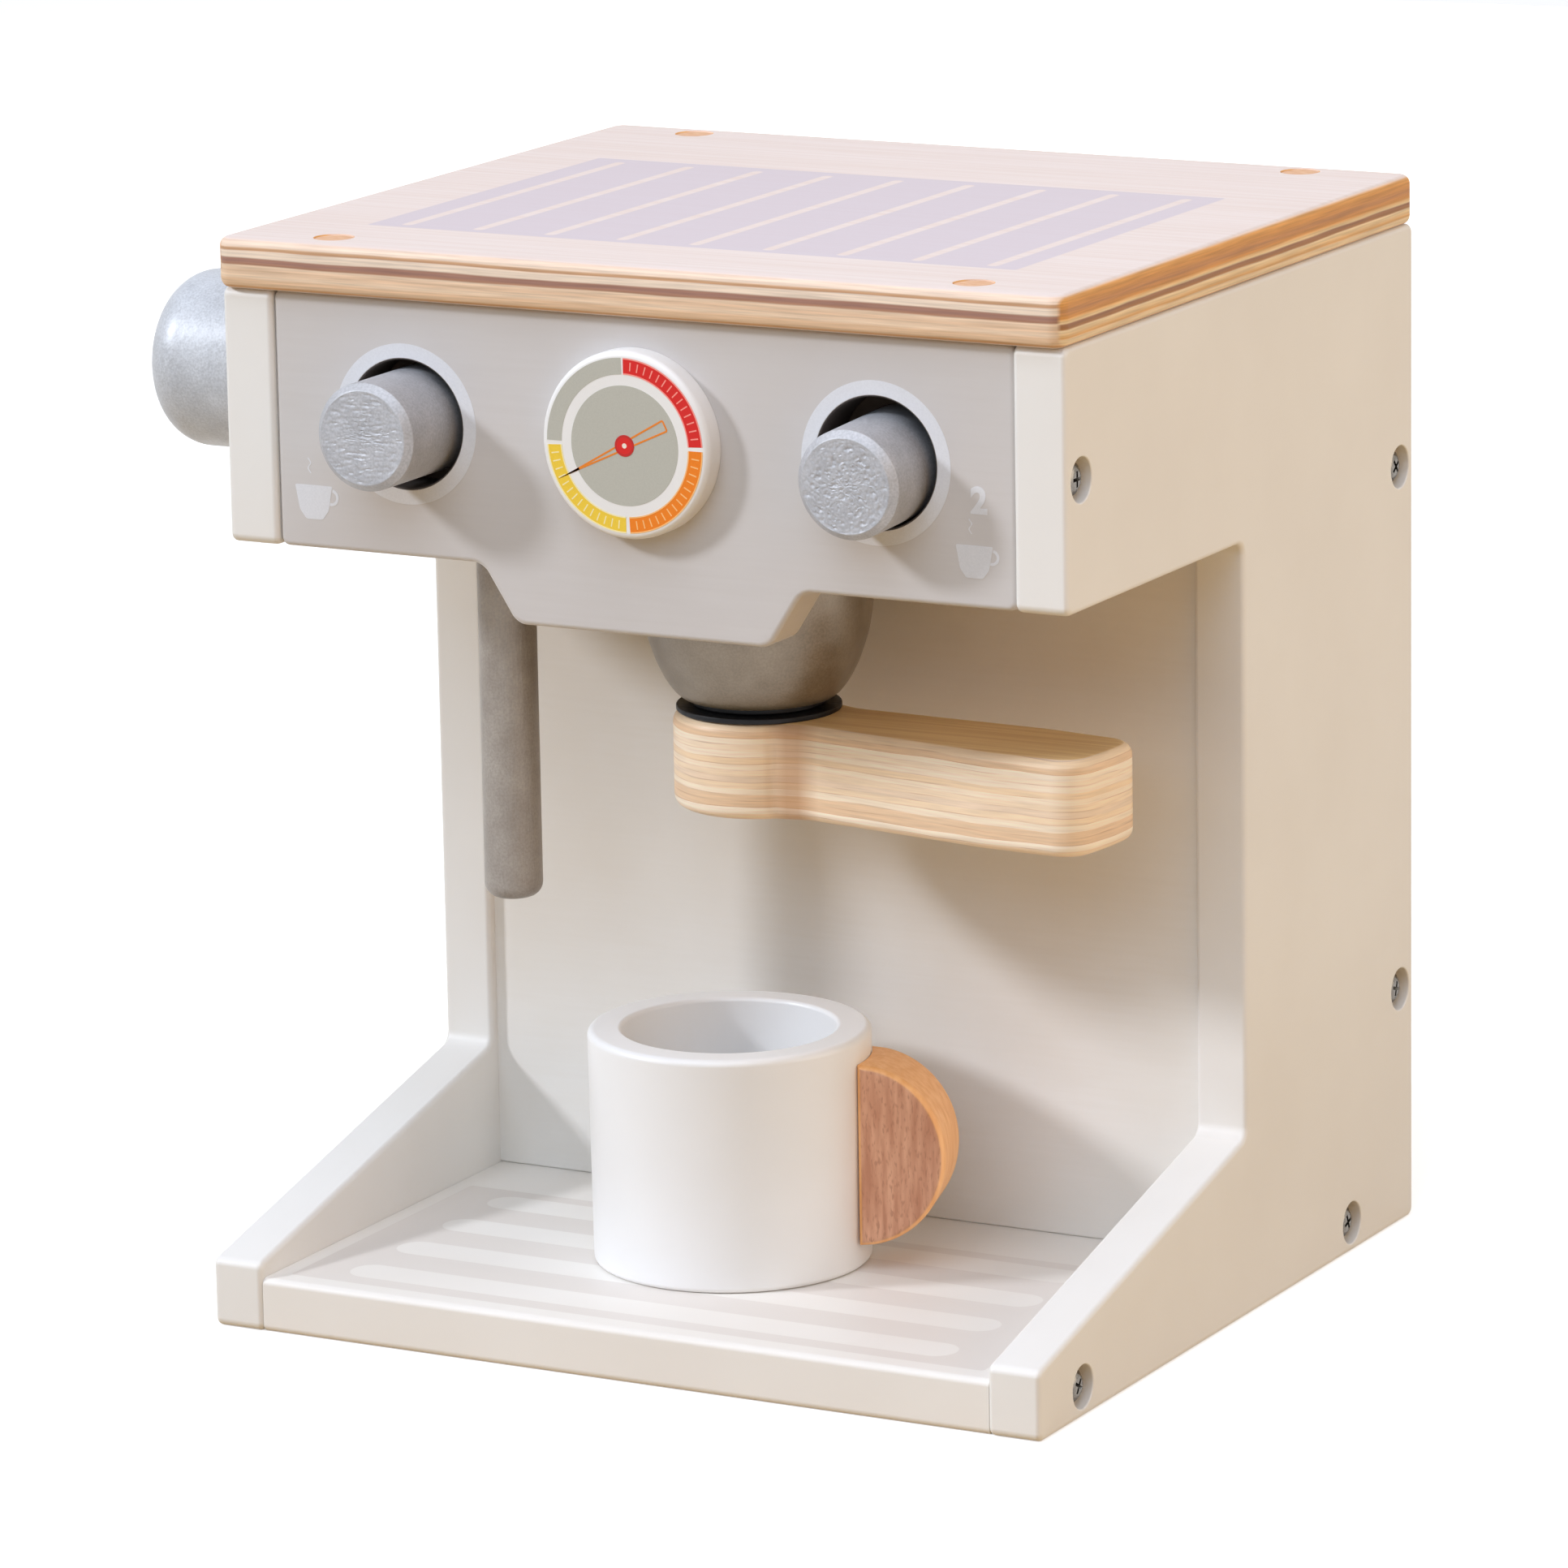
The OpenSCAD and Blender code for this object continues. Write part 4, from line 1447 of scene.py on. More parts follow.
@dataclass(frozen=True)
class FrontBoard:
    """The grey front with its bulge over the group, two button holes and printed marks."""

    bulge_half: float = 30.3
    bulge_drop: float = 12.5
    bulge_slant: float = 8.0
    bulge_corner: float = 4.0
    corner: float = 2.0
    button_across: float = 56.0
    button_up: float = 199.2
    hole_radius: float = 13.8
    ring: Pair = (14.25, 17.25)
    ink: float = 0.05
    cup_marks: tuple[tuple[Pair, float], ...] = (((-79.0, 181.0), 0.92), ((78.6, 180.7), 0.85))
    cup_mark: tuple[Corner, ...] = (
        Corner(-5.2, 3.6, 0.3),
        Corner(4.8, 3.6, 0.3),
        Corner(3.7, -2.2, 2.0),
        Corner(2.0, -4.4, 1.0),
        Corner(-2.4, -4.4, 1.0),
        Corner(-4.1, -2.2, 2.0),
    )
    mark_handle: tuple[float, float, float, float] = (1.3, 2.0, 12.0, 195.0)
    handle_place: Triple = (4.5, 1.0, 0.0)
    steam_size: Triple = (0.3, 3.6, 1.0)
    steam_wave: Pair = (0.35, 2.4)
    steam_place: Triple = (-1.2, 8.2, 0.0)
    figure: Pair = (79.6, 192.9)
    figure_size: float = 7.6
    figure_bold: float = 0.28

    def _outline(self, box: Box) -> list[Corner]:
        """Gives the outline, X across and Z up.

        Args:
            box: The board's box.

        Returns:
            The outline's corners.
        """
        side, low, top = box.high[0], box.low[2] + self.bulge_drop, box.high[2]
        half = [
            Corner(self.bulge_half, low - self.bulge_drop, self.bulge_corner),
            Corner(self.bulge_half + self.bulge_slant, low, self.bulge_corner),
            Corner(side, low, self.corner),
            Corner(side, top, self.corner),
        ]
        return half + [Corner(-c.across, c.up, c.radius) for c in reversed(half)]

    def _cup_mark(self) -> Mesh:
        """Builds a plain little cup with steam, its body about the origin.

        Returns:
            The mark's mesh.
        """
        handle = sector(*self.mark_handle, self.ink, 12.0)
        steam = bmesh.new()
        bmesh.ops.create_grid(steam, x_segments=1, y_segments=14, size=0.5)
        bmesh.ops.scale(steam, vec=self.steam_size, verts=steam.verts)
        for vert in steam.verts:
            vert.co.x += self.steam_wave[0] * math.sin(vert.co.y * self.steam_wave[1])
        return gathered(
            (
                patch(self.cup_mark, self.ink),
                moved(handle, at(*self.handle_place)),
                moved(raised(steam, self.ink), at(*self.steam_place)),
            )
        )

    def _two(self) -> Mesh:
        """Builds a plain figure 2, its middle at the origin.

        Returns:
            The figure's mesh.
        """
        curve = bpy.data.curves.new("figure", "FONT")
        curve.body = "2"
        curve.size, curve.offset = self.figure_size, self.figure_bold
        curve.align_x = curve.align_y = "CENTER"
        text = in_scene("figure", curve)
        bpy.context.view_layer.update()
        depsgraph = bpy.context.evaluated_depsgraph_get()
        data = bpy.data.meshes.new_from_object(text, depsgraph=depsgraph)
        bm = bmesh.new()
        bm.from_mesh(data)
        bpy.data.meshes.remove(data)
        bpy.data.objects.remove(text)
        bpy.data.curves.remove(curve)
        bmesh.ops.remove_doubles(bm, verts=bm.verts, dist=TINY)
        return raised(bm, self.ink)

    def build(self) -> None:
        """Builds the board and its prints."""
        box = Box.of("front_board")
        spots = [(side * self.button_across, self.button_up) for side in (-1, 1)]
        # The hole walls take the second finish, the dark painted shade.
        holes = [Hole(*spot, self.hole_radius, wall=1) for spot in spots]
        faces = (box.low[1], box.high[1], Plane.FACING)
        board = Board(self._outline(box), *faces, holes=holes).mesh()
        put(board, "front_board_painted", "grey_paint", ["front_board"], GREY_FRONT, HOLE_WALL)
        prints = [
            moved(sector(*self.ring, 0.0, WHOLE_TURN, self.ink), at(*spot, 0.0)) for spot in spots
        ]
        for spot, size in self.cup_marks:
            place = at(*spot, 0.0) @ Matrix.Diagonal((size, size, 1.0, 1.0))
            prints.append(moved(self._cup_mark(), place))
        prints.append(moved(self._two(), at(*self.figure, 0.0)))
        face = at(0.0, box.low[1] - self.ink, 0.0) @ Plane.FACING.matrix()
        put(outward(moved(gathered(prints), face)), "front_prints", "grey_paint", [], PALE_INK)


@dataclass(frozen=True)
class TopBoard:
    """The plywood top with its printed cup warmer, and the plugs over its four screws."""

    corner: float = 3.5
    ease: float = 2.0
    plug_radius: float = 4.35
    plug_play: float = 0.02
    plug_ease: float = 0.3
    plug_across: float = 76.0
    plug_up: Pair = (-71.0, 87.5)
    plug_depth: float = 0.7
    warmer: SlotPrint = SlotPrint(
        centre=(-0.5, -3.5),
        half=(77.5, 50.5),
        corner=0.8,
        slot_centre=(0.0, -4.2),
        slot_half=(1.25, 47.2),
        pitch=17.5,
        row=Slots.ALONG_X,
        ink="CDC0C7",
        cover=0.8,
        level=0.9,
        edge=0.35,
    )
    front_plies: Stops = (
        (0.0, "D59E6B"),
        (0.06, "E0AE7C"),
        (0.09, "EBCBAA"),
        (0.2, "E6C09A"),
        (0.26, "F0D4B6"),
        (0.38, "E9C6A4"),
        (0.47, "EFD3B6"),
        (0.5, "B4856A"),
        (0.56, "A27A6C"),
        (0.61, "AB7F6B"),
        (0.64, "F5E0C9"),
        (0.76, "F4DFCA"),
        (0.78, "CFA07A"),
        (0.82, "D4AA85"),
        (0.85, "F4DAC2"),
        (1.0, "F0D0B6"),
    )
    # The plies of the sideways edges, darker and warmer than the front's as painted shade.
    side_plies_painted_shade: Stops = (
        (0.0, "E0AC70"),
        (0.05, "F6DFBC"),
        (0.16, "F6DDB8"),
        (0.2, "DDA868"),
        (0.27, "F0CF9E"),
        (0.34, "F7E0BC"),
        (0.37, "B07A48"),
        (0.45, "9E7050"),
        (0.48, "F5DAB0"),
        (0.53, "EFC68C"),
        (0.57, "DB9A50"),
        (0.68, "C58D5C"),
        (0.8, "D99B56"),
        (0.95, "E3A45A"),
        (1.0, "F2C78E"),
    )

    def build(self) -> None:
        """Builds the top and its plugs."""
        box = Box.of("top_board")
        (left, front, low), (right, back, high) = box.low, box.high
        places = ((left, front), (right, front), (right, back), (left, back))
        outline = [Corner(*place, self.corner) for place in places]
        spots = [(side * self.plug_across, y) for side in (-1, 1) for y in self.plug_up]
        holes = [
            Hole(*spot, self.plug_radius, self.plug_depth, rim=0.15, rim_steps=2) for spot in spots
        ]
        ply = TopPly(
            "lacquered_birch_plywood",
            low,
            high - low,
            self.front_plies,
            self.side_plies_painted_shade,
            self.warmer,
        )
        faces = (high, low, Plane.LYING)
        board = Board(outline, *faces, ease=self.ease, ease_steps=5, holes=holes).mesh()
        put(board, "top_board_plywood", "birch_ply", ["top_board"], ply)
        plugs = Box.of("top_plugs")
        height = plugs.high[2] - plugs.low[2]
        profile = drum(self.plug_radius - self.plug_play, 0.0, height, top=self.plug_ease)
        made = [Turning(profile, (*spot, plugs.low[2]), steps=64).mesh() for spot in spots]
        put(gathered(made), "top_plugs_turned", "beech", ["top_plugs"], PLUG_WOOD)
        dress("top_screws", ZINC)


@dataclass(frozen=True)
class Button:
    """What tells one press button from the other."""

    name: str
    body: Body
    side: int
    proud: float
    droop: float
    crinkle: float
    crinkle_mm: Pair


@dataclass(frozen=True)
class PressButtons:
    """The two silver dowels that press into the head, with stems, rings, springs and rail."""

    across: float = 56.0
    up: float = 199.2
    radius: float = 11.6
    chamfer: float = 1.5
    soft: float = 0.5
    stem_radius: float = 4.0
    pivot_y: float = -36.0
    stem_tail: float = 8.0
    shoulder: float = 28.8
    shoulder_round: float = 0.4
    ring_radius: float = 16.0
    ring_thick: float = 4.0
    rail_half: float = 6.0
    wire_radius: float = 0.6
    wire_sides: int = 8
    coil_radius: float = 7.0
    coil_turns: int = 5
    coil_steps: int = 32
    seat_gap: float = 0.1
    press: float = 9.0
    slack: float = 0.05
    front_y: float = -77.0
    wrinkle_fade: float = 0.8
    wrinkle_noise: tuple[float, float, int] = (0.7, 2.1, 4)
    wrinkle_gain: float = 2.2
    buttons: tuple[Button, ...] = (
        Button("left", Body.LEFT_BUTTON, -1, 17.7, 0.0, 0.13, (4.2, 0.85)),
        Button("right", Body.RIGHT_BUTTON, 1, 13.7, 2.6, 0.17, (1.7, 1.3)),
    )

    def _wrinkle(self, bm: Mesh, tip: Vector, axis: Vector, button: Button) -> None:
        """Wrinkles the end face like painted end grain.

        Args:
            bm: The button's mesh in its place.
            tip: The middle of the end face.
            axis: The way that the end face looks.
            button: The button.
        """
        flat_radius = self.radius - self.chamfer
        wide, high = button.crinkle_mm
        for vert in bm.verts:
            offset = vert.co - tip
            if abs(offset.dot(axis)) > TINY or offset.length > flat_radius - TINY:
                continue
            fade = min(1.0, (flat_radius - offset.length) / self.wrinkle_fade)
            spot = Vector((vert.co.x / wide, vert.co.z / high, tip.x))
            wrinkle = 1.0 - abs(noise.fractal(spot, *self.wrinkle_noise)) * self.wrinkle_gain
            vert.co += axis * (button.crinkle * fade * (wrinkle - 1.0))

    def _spring(self, near: float, far: float) -> Mesh:
        """Winds a spring about the Z axis, its first and last half turn flat.

        Args:
            near: Height of its lower seat.
            far: Height of its upper seat.

        Returns:
            The closed wire.
        """
        bm = bmesh.new()
        low = near + self.wire_radius + self.seat_gap
        rise = (far - near - 2 * (self.wire_radius + self.seat_gap)) / (self.coil_turns - 1)
        section = at(self.coil_radius, 0.0, low) @ Matrix.Rotation(math.pi / 2, 4, "X")
        start = bmesh.ops.create_circle(
            bm, cap_ends=False, radius=self.wire_radius, segments=self.wire_sides, matrix=section
        )
        last = [*start["verts"], *{e for v in start["verts"] for e in v.link_edges}]
        for turns, climb in ((0.5, 0.0), (self.coil_turns - 1, rise), (0.5, 0.0)):
            steps = round(turns * self.coil_steps)
            last = spun(bm, last, math.tau * turns, steps, climb=climb / self.coil_steps)
        ends = [e for e in bm.edges if e.is_boundary]
        bmesh.ops.holes_fill(bm, edges=ends, sides=self.wire_sides)
        return outward(bm)

    def _put_spring(self, name: str, foot: Vector, back: Vector, lean: float) -> None:
        """Builds a button's spring.

        Args:
            name: The side that it is on.
            foot: Where the button's axis crosses the middle of the rail.
            back: The way that the button is pressed.
            lean: The angle by which the button droops.
        """
        near = -self.shoulder + self.ring_radius * math.sin(lean) + self.ring_thick
        far = -self.rail_half - (self.coil_radius + self.wire_radius) * math.sin(lean)
        turned = Vector((0.0, 0.0, 1.0)).rotation_difference(back).to_matrix().to_4x4()
        wire = moved(self._spring(near, far), at(*foot) @ turned)
        node = f"{name}_button_spring"
        spring = put(wire, f"{name}_spring_wound", "spring_steel", [node], WIRE, sharp=60.0)
        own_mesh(spring)

    def build(self) -> None:
        """Builds both buttons and their springs and dresses what is behind them."""
        for button in self.buttons:
            name, lean = button.name, math.radians(button.droop)
            axis = Vector((0.0, -math.cos(lean), -math.sin(lean)))
            tip = button.proud + self.pivot_y - self.front_y
            shoulder = self.shoulder - self.ring_radius * math.sin(lean)
            profile = (
                Corner(0.0, -self.stem_tail),
                Corner(self.stem_radius, -self.stem_tail, self.soft),
                Corner(self.stem_radius, shoulder),
                Corner(self.radius, shoulder, self.shoulder_round),
                Corner(self.radius, tip - self.chamfer, self.soft),
                Corner(self.radius - self.chamfer, tip, self.soft),
                Corner(0.0, tip),
            )
            foot = Vector((button.side * self.across, self.pivot_y, self.up))
            dowel = Turning(profile, foot, axis, steps=180, fine_height=tip, fine_cuts=44).mesh()
            self._wrinkle(dowel, foot + axis * tip, axis, button)
            label, node = f"{name}_button_dowel", f"{name}_button"
            put(dowel, label, "silver_paint", [node], SILVER, body=button.body)
            # The stop ring's dark colour is painted shade.
            dress(f"{name}_button_stop", PAINTED_SHADE_WOOD)
            self._put_spring(name, foot, -axis, lean)
        dress("button_rail", BARE)


class DialInk(Enum):
    """The dial's inks, in the order of their material slots, each with its hex value."""

    BEIGE = (0, "BAB8AC")
    RED = (1, "D6130E")
    DARK_RED = (2, "BD1A14")
    ORANGE = (3, "F0800C")
    LIGHT_ORANGE = (4, "FBC27C")
    YELLOW = (5, "F2CC3C")
    PALE_YELLOW = (6, "FAEDB4")
    NEEDLE = (7, "E8811A")
    CREAM = (8, "F4E6D6")
    LIGHT_RED = (9, "F79A8E")


@dataclass(frozen=True)
class Gauge:
    """The round gauge on the front: a white disc with a printed dial."""

    rim_ease: float = 1.4
    back_ease: float = 0.2
    band: Pair = (15.0, 18.5)
    disc: float = 12.7
    tick: Pair = (15.9, 17.7)
    tick_half: float = 0.45
    ink: float = 0.04
    gap: float = 3.0
    outline: float = 0.28
    needle_angle: float = 207.0
    needle_tip: float = 17.8
    needle_tail: float = 11.0
    needle_half: float = 1.4
    needle_line: float = 0.38
    needle_solid: float = 5.5
    hub: Triple = (0.55, 1.8, 2.3)
    hub_step: float = 15.0
    ticks: int = 15

    def _quarter(self, start: float, fill: DialInk, edge: DialInk) -> list[Mesh]:
        """Builds one coloured quarter of the band.

        Args:
            start: Where it starts, in degrees clockwise from the top.
            fill: Its colour.
            edge: Its outline and tick colour.

        Returns:
            Its fill, and its outline and ticks.
        """
        low, high = self.band
        stop = start + 90.0 - self.gap
        above = self.ink * 1.5
        lines = [
            sector(low, low + self.outline, start, stop, above),
            sector(high - self.outline, high, start, stop, above),
        ]
        for i in range(1, self.ticks):
            middle = start + i * (stop - start) / self.ticks
            ends = (middle - self.tick_half, middle + self.tick_half)
            lines.append(sector(*self.tick, *ends, above, 1.0))
        band = sector(low, high, start, stop, self.ink)
        return [gathered([band], fill.value[0]), gathered(lines, edge.value[0])]

    def _needle(self) -> list[Mesh]:
        """Builds the outlined needle and its hub.

        Returns:
            The line, the solid tip and the hub's rings.
        """
        end, tail, half = self.needle_tip, self.needle_tail, self.needle_half
        shape = (Corner(end, 0.0), Corner(-tail, half, 0.5), Corner(-tail, -half, 0.5))
        solid = self.needle_solid
        width = solid * half / (end + tail)
        tip = (Corner(end, 0.0), Corner(end - solid, width), Corner(end - solid, -width))
        lines = (patch(shape, self.ink * 2, self.needle_line), patch(tip, self.ink * 2))
        turn = turned_by(self.needle_angle)
        parts = [gathered((moved(line, turn) for line in lines), DialInk.NEEDLE.value[0])]
        radii = (0.0, *self.hub)
        inks = (DialInk.CREAM, DialInk.RED, DialInk.DARK_RED)
        for inner, outer, ink in zip(radii, radii[1:], inks):
            ring = sector(inner, outer, 0.0, WHOLE_TURN, self.ink * 3, self.hub_step)
            parts.append(gathered([ring], ink.value[0]))
        return parts

    def build(self) -> None:
        """Builds the disc and its print."""
        box = Box.of("gauge_disc")
        across, up = box.middle(0), box.middle(2)
        back = -Box.of("front_board").low[1]
        profile = drum(box.half(0), back, -box.low[1], self.back_ease, self.rim_ease)
        disc = Turning(profile, (across, 0.0, up), (0.0, -1.0, 0.0)).mesh()
        put(disc, "gauge_disc_turned", "gauge_white", ["gauge_disc"], GAUGE_WHITE)
        parts = [
            sector(0.0, self.disc, 0.0, WHOLE_TURN, self.ink),
            sector(*self.band, 270.0, WHOLE_TURN - self.gap / 2, self.ink),
            *self._quarter(0.0, DialInk.RED, DialInk.LIGHT_RED),
            *self._quarter(90.0, DialInk.ORANGE, DialInk.LIGHT_ORANGE),
            *self._quarter(180.0, DialInk.YELLOW, DialInk.PALE_YELLOW),
            *self._needle(),
        ]
        outwards = Matrix.Diagonal((1.0, 1.0, -1.0, 1.0))
        face = at(across, box.low[1], up) @ Plane.FACING.matrix() @ outwards
        dial = outward(moved(gathered(parts), face))
        inks = [Ink(f"gauge_{ink.name.lower()}_ink", ink.value[1]) for ink in DialInk]
        put(dial, "gauge_dial_print", "gauge_white", [], *inks)


@dataclass(frozen=True)
class Group:
    """The silver bowl under the head and the black magnet that turns in its seat."""

    centre_y: float = -26.0
    radius: float = 25.3
    straight: float = 22.8
    bulge: float = 24.0
    wall: tuple[Triple, ...] = (
        (16.3, 0.3, 2.0),
        (17.6, 1.2, 6.0),
        (19.7, 3.7, 16.0),
        (22.0, 8.3, 20.0),
        (24.0, 14.3, 22.0),
    )
    lip_radius: float = 15.2
    lip_ease: float = 0.2
    seat_radius: float = 14.45
    seat_depth: float = 3.0
    seat_ease: float = 0.15
    magnet_ease: float = 0.4

    def build(self) -> None:
        """Builds the bowl and the magnet."""
        box = Box.of("group_bowl")
        low, high = box.low[2], box.high[2]
        profile = (
            Corner(0.0, low + self.seat_depth),
            Corner(self.seat_radius, low + self.seat_depth),
            Corner(self.seat_radius, low, self.seat_ease),
            Corner(self.lip_radius, low, self.lip_ease),
            *(Corner(radius, low + up, ease) for radius, up, ease in self.wall),
            Corner(self.radius, low + self.straight, self.bulge),
            Corner(self.radius, high),
            Corner(0.0, high),
        )
        foot = (box.middle(0), self.centre_y, 0.0)
        bowl = Turning(profile, foot).mesh()
        put(bowl, "group_bowl_turned", "silver_paint", ["group_bowl"], SILVER_SHADED)
        magnet = Box.of("group_magnet")
        eases = (self.magnet_ease, self.magnet_ease)
        disc = Turning(drum(magnet.half(0), magnet.low[2], magnet.high[2], *eases), foot).mesh()
        finish = (["group_magnet"], BLACK_MAGNET)
        put(disc, "magnet_coated", "black_magnet", *finish, body=Body.MAGNET)
        dress("group_screw", ZINC)


@dataclass(frozen=True)
class FilterHolder:
    """The plywood paddle with its round head, and the black disc screwed on it."""

    centre_y: float = -26.0
    turn: float = -5.5
    head_radius: float = 18.6
    neck_angle: float = 46.0
    head_steps: int = 60
    half_outline: tuple[Corner, ...] = (
        Corner(19.0, 11.4, 9.0),
        Corner(65.5, 14.4, 40.0),
        Corner(87.9, 13.4, 7.0),
    )
    end: Corner = Corner(89.5, 0.0, 60.0)
    ease: float = 2.6
    disc_ease: float = 0.3

    def build(self) -> None:
        """Builds the paddle and the disc."""
        box = Box.of("holder_paddle")
        low, high = box.low[2], box.high[2]
        neck = self.neck_angle
        head = arc(self.head_radius, neck, WHOLE_TURN - neck, self.head_steps)
        lower = [Corner(c.across, -c.up, c.radius) for c in self.half_outline]
        outline = (*head, *lower, self.end, *reversed(self.half_outline))
        rounding = {"ease": self.ease, "ease_steps": 6, "corner_steps": 10}
        board = Board(outline, high, low, Plane.LYING, **rounding).mesh()
        moved(board, at(0.0, self.centre_y, 0.0) @ turned_by(self.turn))
        ply = PaddlePly("sanded_birch_plywood", low, high - low)
        body = Body.FILTER_HOLDER
        put(board, "paddle_plywood", "birch_ply", ["holder_paddle"], ply, body=body)
        disc = Box.of("holder_disc")
        profile = drum(disc.half(0), disc.low[2], disc.high[2], self.disc_ease, self.disc_ease)
        plate = Turning(profile, (0.0, self.centre_y, 0.0)).mesh()
        put(plate, "disc_lacquered", "black_steel", ["holder_disc"], BLACK_DISC, body=body)
        dress("holder_screw", ZINC)


@dataclass(frozen=True)
class Wand:
    """The steam wand: a silver dowel with a rounded lower end."""

    end_round: float = 3.2

    def build(self) -> None:
        """Builds the wand."""
        box = Box.of("steam_wand")
        profile = drum(box.half(0), box.low[2], box.high[2], self.end_round)
        dowel = Turning(profile, (box.middle(0), box.middle(1), 0.0)).mesh()
        put(dowel, "wand_dowel", "silver_paint", ["steam_wand"], SILVER_DOWEL)


@dataclass(frozen=True)
class SideKnob:
    """The round-nosed knob on the left side, with its axle and lock ring."""

    nose_round: float = 9.4
    foot_ease: float = 0.8

    def build(self) -> None:
        """Builds the knob and dresses its axle."""
        box = Box.of("side_knob")
        profile = drum(box.half(1), -box.high[0], -box.low[0], self.foot_ease, self.nose_round)
        foot = (0.0, box.middle(1), box.middle(2))
        knob = Turning(profile, foot, (-1.0, 0.0, 0.0), round_steps=14).mesh()
        finish = (["side_knob"], SILVER_KNOB)
        put(knob, "knob_turned", "silver_paint", *finish, body=Body.SIDE_KNOB)
        dress("knob_axle", BARE)
        dress("knob_lock_ring", BARE)


@dataclass(frozen=True)
class Cup:
    """The loose cup: a thick turned wall, a half-round beech handle and a peg between them."""

    centre: Triple = (-3.9, -35.0, 0.0)
    turn: float = 16.5
    bore: float = 23.3
    taper: float = 0.5
    rim: float = 1.6
    bore_rim: float = 1.0
    floor: float = 9.0
    floor_round: float = 6.0
    foot_round: float = 1.3
    hollow: Triple = (4.0, 0.5, 0.2)
    grip_inset: float = 1.2
    grip_radius: float = 20.2
    grip_angle: float = 80.0
    grip_steps: int = 52
    grip_reach: float = 0.95
    grip_thick: float = 18.4
    grip_ease: float = 1.6
    seat_play: float = 0.12
    cut_past: float = 5.0
    steps: int = 160

    def _body(self, box: Box) -> Mesh:
        """Builds the cup's turned body, its foot hollowed a little.

        Args:
            box: The box of the cup's body.

        Returns:
            The body's mesh.
        """
        radius, low, top = box.half(1), box.low[2], box.high[2]
        inset, depth, ease = self.hollow
        profile = (
            Corner(0.0, low + depth),
            Corner(radius - inset, low + depth),
            Corner(radius - inset - depth, low, ease),
            Corner(radius - self.taper, low, self.foot_round),
            Corner(radius, top, self.rim),
            Corner(self.bore, top, self.bore_rim),
            Corner(self.bore, low + self.floor, self.floor_round),
            Corner(0.0, low + self.floor),
        )
        return Turning(profile, self.centre, steps=self.steps, round_steps=8).mesh()

    def _grip(self, box: Box) -> Mesh:
        """Builds the handle, cut to fit the cup's wall.

        Args:
            box: The box of the cup's body.

        Returns:
            The handle's mesh.
        """
        middle = Box.of("cup_grip").middle(2)
        start = box.half(1) - self.grip_inset
        bow = arc(self.grip_radius, -self.grip_angle, self.grip_angle, self.grip_steps)
        points = (Corner(0.0, -self.grip_radius), *bow, Corner(0.0, self.grip_radius))
        outline = [Corner(start + self.grip_reach * c.across, middle + c.up) for c in points]
        half = self.grip_thick / 2
        board = Board(outline, -half, half, Plane.FACING, ease=self.grip_ease, ease_steps=5)
        ends = (box.low[2] - self.cut_past, box.high[2] + self.cut_past)
        cutter = Turning(drum(box.half(1) + self.seat_play, *ends), steps=self.steps)
        place = at(*self.centre) @ turned_by(self.turn)
        return moved(carved(board.mesh(), cutter.mesh()), place)

    def build(self) -> None:
        """Builds the cup and its handle."""
        box = Box.of("cup_body")
        put(self._body(box), "cup_turned", "cup_white", ["cup_body"], CUP_WHITE, body=Body.CUP)
        turn = math.radians(self.turn)
        wood = Beech("oiled_beech", (-math.sin(turn), math.cos(turn), 0.0))
        put(self._grip(box), "cup_handle_beech", "beech", ["cup_grip"], wood, body=Body.CUP)
        dress("cup_peg", BARE)


# ---- Studio ------------------------------------------------------------------------------------


@dataclass(frozen=True)
class Lens:
    """The photograph's viewpoint, fitted to the corners of the object's boxes."""

    place: Triple = (0.8254, -1.5411, 0.5146)
    azimuth: float = 28.4134
    elevation: float = 13.022
    roll: float = 1.0112
    focal: float = 188.59
    sensor: float = 36.0
    clip: Pair = (0.05, 50.0)

    def build(self) -> None:
        """Makes the camera."""
        a, e, r = (math.radians(v) for v in (self.azimuth, self.elevation, self.roll))
        back = Vector((math.sin(a) * math.cos(e), -math.cos(a) * math.cos(e), math.sin(e)))
        level = (-back).cross(Vector((0.0, 0.0, 1.0))).normalized()
        plumb = (-back).cross(level)
        right = math.cos(r) * level + math.sin(r) * plumb
        down = math.cos(r) * plumb - math.sin(r) * level
        data = bpy.data.cameras.new("camera")
        data.lens, data.sensor_width = self.focal, self.sensor
        data.clip_start, data.clip_end = self.clip
        camera = in_scene("camera", data)
        camera.matrix_world = at(*self.place) @ Matrix((right, -down, back)).transposed().to_4x4()
        bpy.context.scene.camera = camera


@dataclass(frozen=True)
class SoftLamp:
    """A square soft lamp that looks at the object, its size in metres and its power in watts."""

    name: str
    place: Triple
    size: float
    power: float
    colour: str
    in_gloss: bool = True


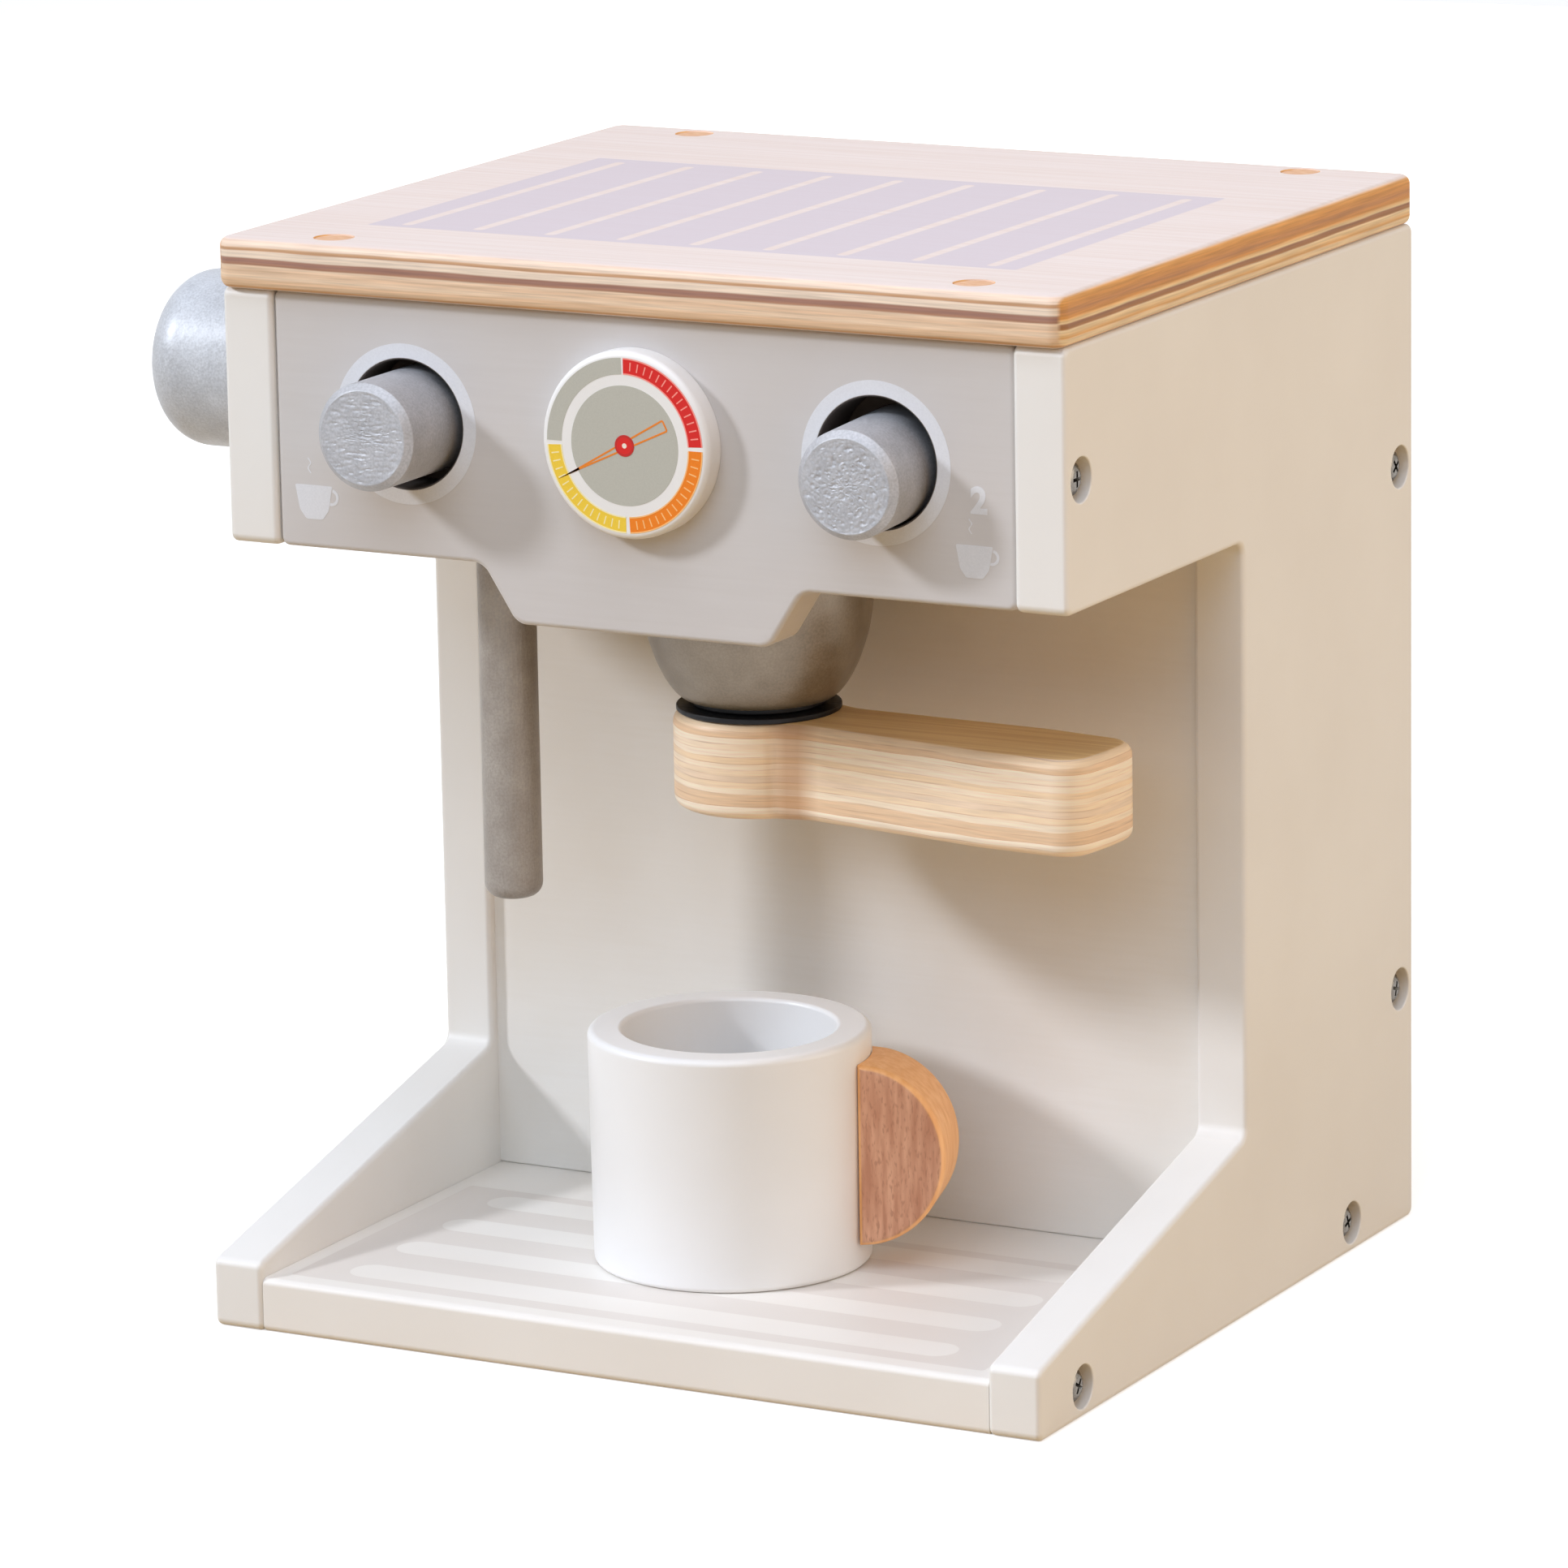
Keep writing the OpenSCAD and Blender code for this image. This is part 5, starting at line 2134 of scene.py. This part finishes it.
@dataclass(frozen=True)
class Studio:
    """Plain light and floor.

    A soft sun from the upper left, a broad cool lamp high in front, one overhead, one behind on
    the right, a weak warm one low on the right, and one behind that shows in no gloss.
    """

    key_from: Triple = (-0.70, -0.50, 0.50)
    key_strength: float = 1.88
    key_softness: float = 8.0
    key_colour: str = "EEF4FF"
    sky: str = "FFFEFC"
    sky_strength: float = 0.17
    backdrop: float = 1.0
    lamps: tuple[SoftLamp, ...] = (
        SoftLamp("front_high", (0.2, -1.3, 1.5), 1.9, 22.3, "D4E8FF"),
        SoftLamp("overhead", (0.1, -0.25, 1.6), 1.0, 6.9, "F7F5FF"),
        SoftLamp("right_back", (1.7, 0.5, 0.6), 1.2, 9.9, "FFF6E8"),
        SoftLamp("warm_fill", (1.2, -0.6, 0.42), 1.0, 2.1, "FFB850"),
        SoftLamp("rear", (-0.1, 2.0, 0.15), 1.2, 15.0, "FFFCF8", in_gloss=False),
    )
    target: Triple = (0.0, 0.0, 0.12)
    floor_seen: str = "F4F3F2"
    floor_bounce: str = "B3935A"
    floor_lift: float = 0.5
    floor_size: float = 12.0

    def _seen(self, tree: Tree) -> Socket:
        """Gives 1 to a ray that sees the surface, directly or in a gloss, and 0 to others.

        Args:
            tree: The nodes that need it.

        Returns:
            The share.
        """
        rays = [
            add_node(tree, "LightPath", out=f"Is {kind} Ray")
            for kind in ("Camera", "Glossy", "Transmission")
        ]
        return functools.reduce(
            lambda a, b: add_node(tree, "Math", a, b, operation="ADD", use_clamp=True), rays
        )

    def _floor_material(self) -> bpy.types.Material:
        """Makes the floor's finish: white to the camera, beige where it throws light back.

        Returns:
            The floor's material.
        """
        material = bpy.data.materials.new("pale_floor")
        material.use_nodes = True
        tree = material.node_tree
        tree.nodes.clear()
        seen = self._seen(tree)
        lift = add_node(tree, "Math", seen, self.floor_lift, operation="MULTIPLY")
        tones = (self.floor_bounce, self.floor_seen)
        matt = add_node(tree, "BsdfDiffuse", add_node(tree, "Mix", seen, *tones, data_type="RGBA"))
        glow = add_node(tree, "Emission", named={"Strength": lift})
        add_node(tree, "OutputMaterial", add_node(tree, "AddShader", matt, glow))
        return material

    def _floor(self) -> None:
        """Makes the floor."""
        bm = bmesh.new()
        bmesh.ops.create_grid(bm, x_segments=4, y_segments=4, size=self.floor_size / 2)
        floor = in_scene("floor", as_data(bm, "floor"))
        floor.data.materials.append(self._floor_material())

    def _lamp(
        self, name: str, kind: str, place: Vector, toward: Vector, colour: str
    ) -> bpy.types.Object:
        """Makes a lamp of Blender's kind at a place, shining along a direction.

        Args:
            name: Its name.
            kind: Blender's name of its kind.
            place: Where it stands.
            toward: The way that it shines.
            colour: Its sRGB hex value.

        Returns:
            The lamp.
        """
        data = bpy.data.lights.new(name, kind)
        data.color = srgb(colour)[:3]
        lamp = in_scene(name, data)
        lamp.location = place
        lamp.rotation_euler = toward.to_track_quat("-Z", "Y").to_euler()
        return lamp

    def build(self) -> None:
        """Makes the floor, the lamps and the world, and sets plain colour management."""
        self._floor()
        source = Vector(self.key_from)
        key = self._lamp("key", "SUN", 2 * source, -source, self.key_colour)
        key.data.energy, key.data.angle = self.key_strength, math.radians(self.key_softness)
        for soft in self.lamps:
            place = Vector(soft.place)
            toward = Vector(self.target) - place
            lamp = self._lamp(soft.name, "AREA", place, toward, soft.colour)
            lamp.data.energy, lamp.data.size = soft.power, soft.size
            lamp.visible_glossy = soft.in_gloss
        world = bpy.data.worlds.new("studio")
        bpy.context.scene.world = world
        world.use_nodes = True
        tree = world.node_tree
        tree.nodes.clear()
        strengths = (self.sky_strength, self.backdrop)
        strength = add_node(tree, "MapRange", self._seen(tree), 0.0, 1.0, *strengths)
        add_node(tree, "OutputWorld", add_node(tree, "Background", self.sky, strength))
        bpy.context.scene.view_settings.view_transform = "Standard"


def main() -> None:
    """Builds every sub-assembly in order."""
    logging.basicConfig(level=logging.INFO, format="%(name)s: %(message)s")
    Lens().build()
    Studio().build()
    for part in (
        SidePanels(),
        CrossBoards(),
        FrontBoard(),
        TopBoard(),
        PressButtons(),
        Gauge(),
        Group(),
        FilterHolder(),
        Wand(),
        SideKnob(),
        Cup(),
    ):
        LOG.info("building %s", type(part).__name__)
        part.build()
    dress("head_floor_board", BARE)


if __name__ == "__main__":
    main()
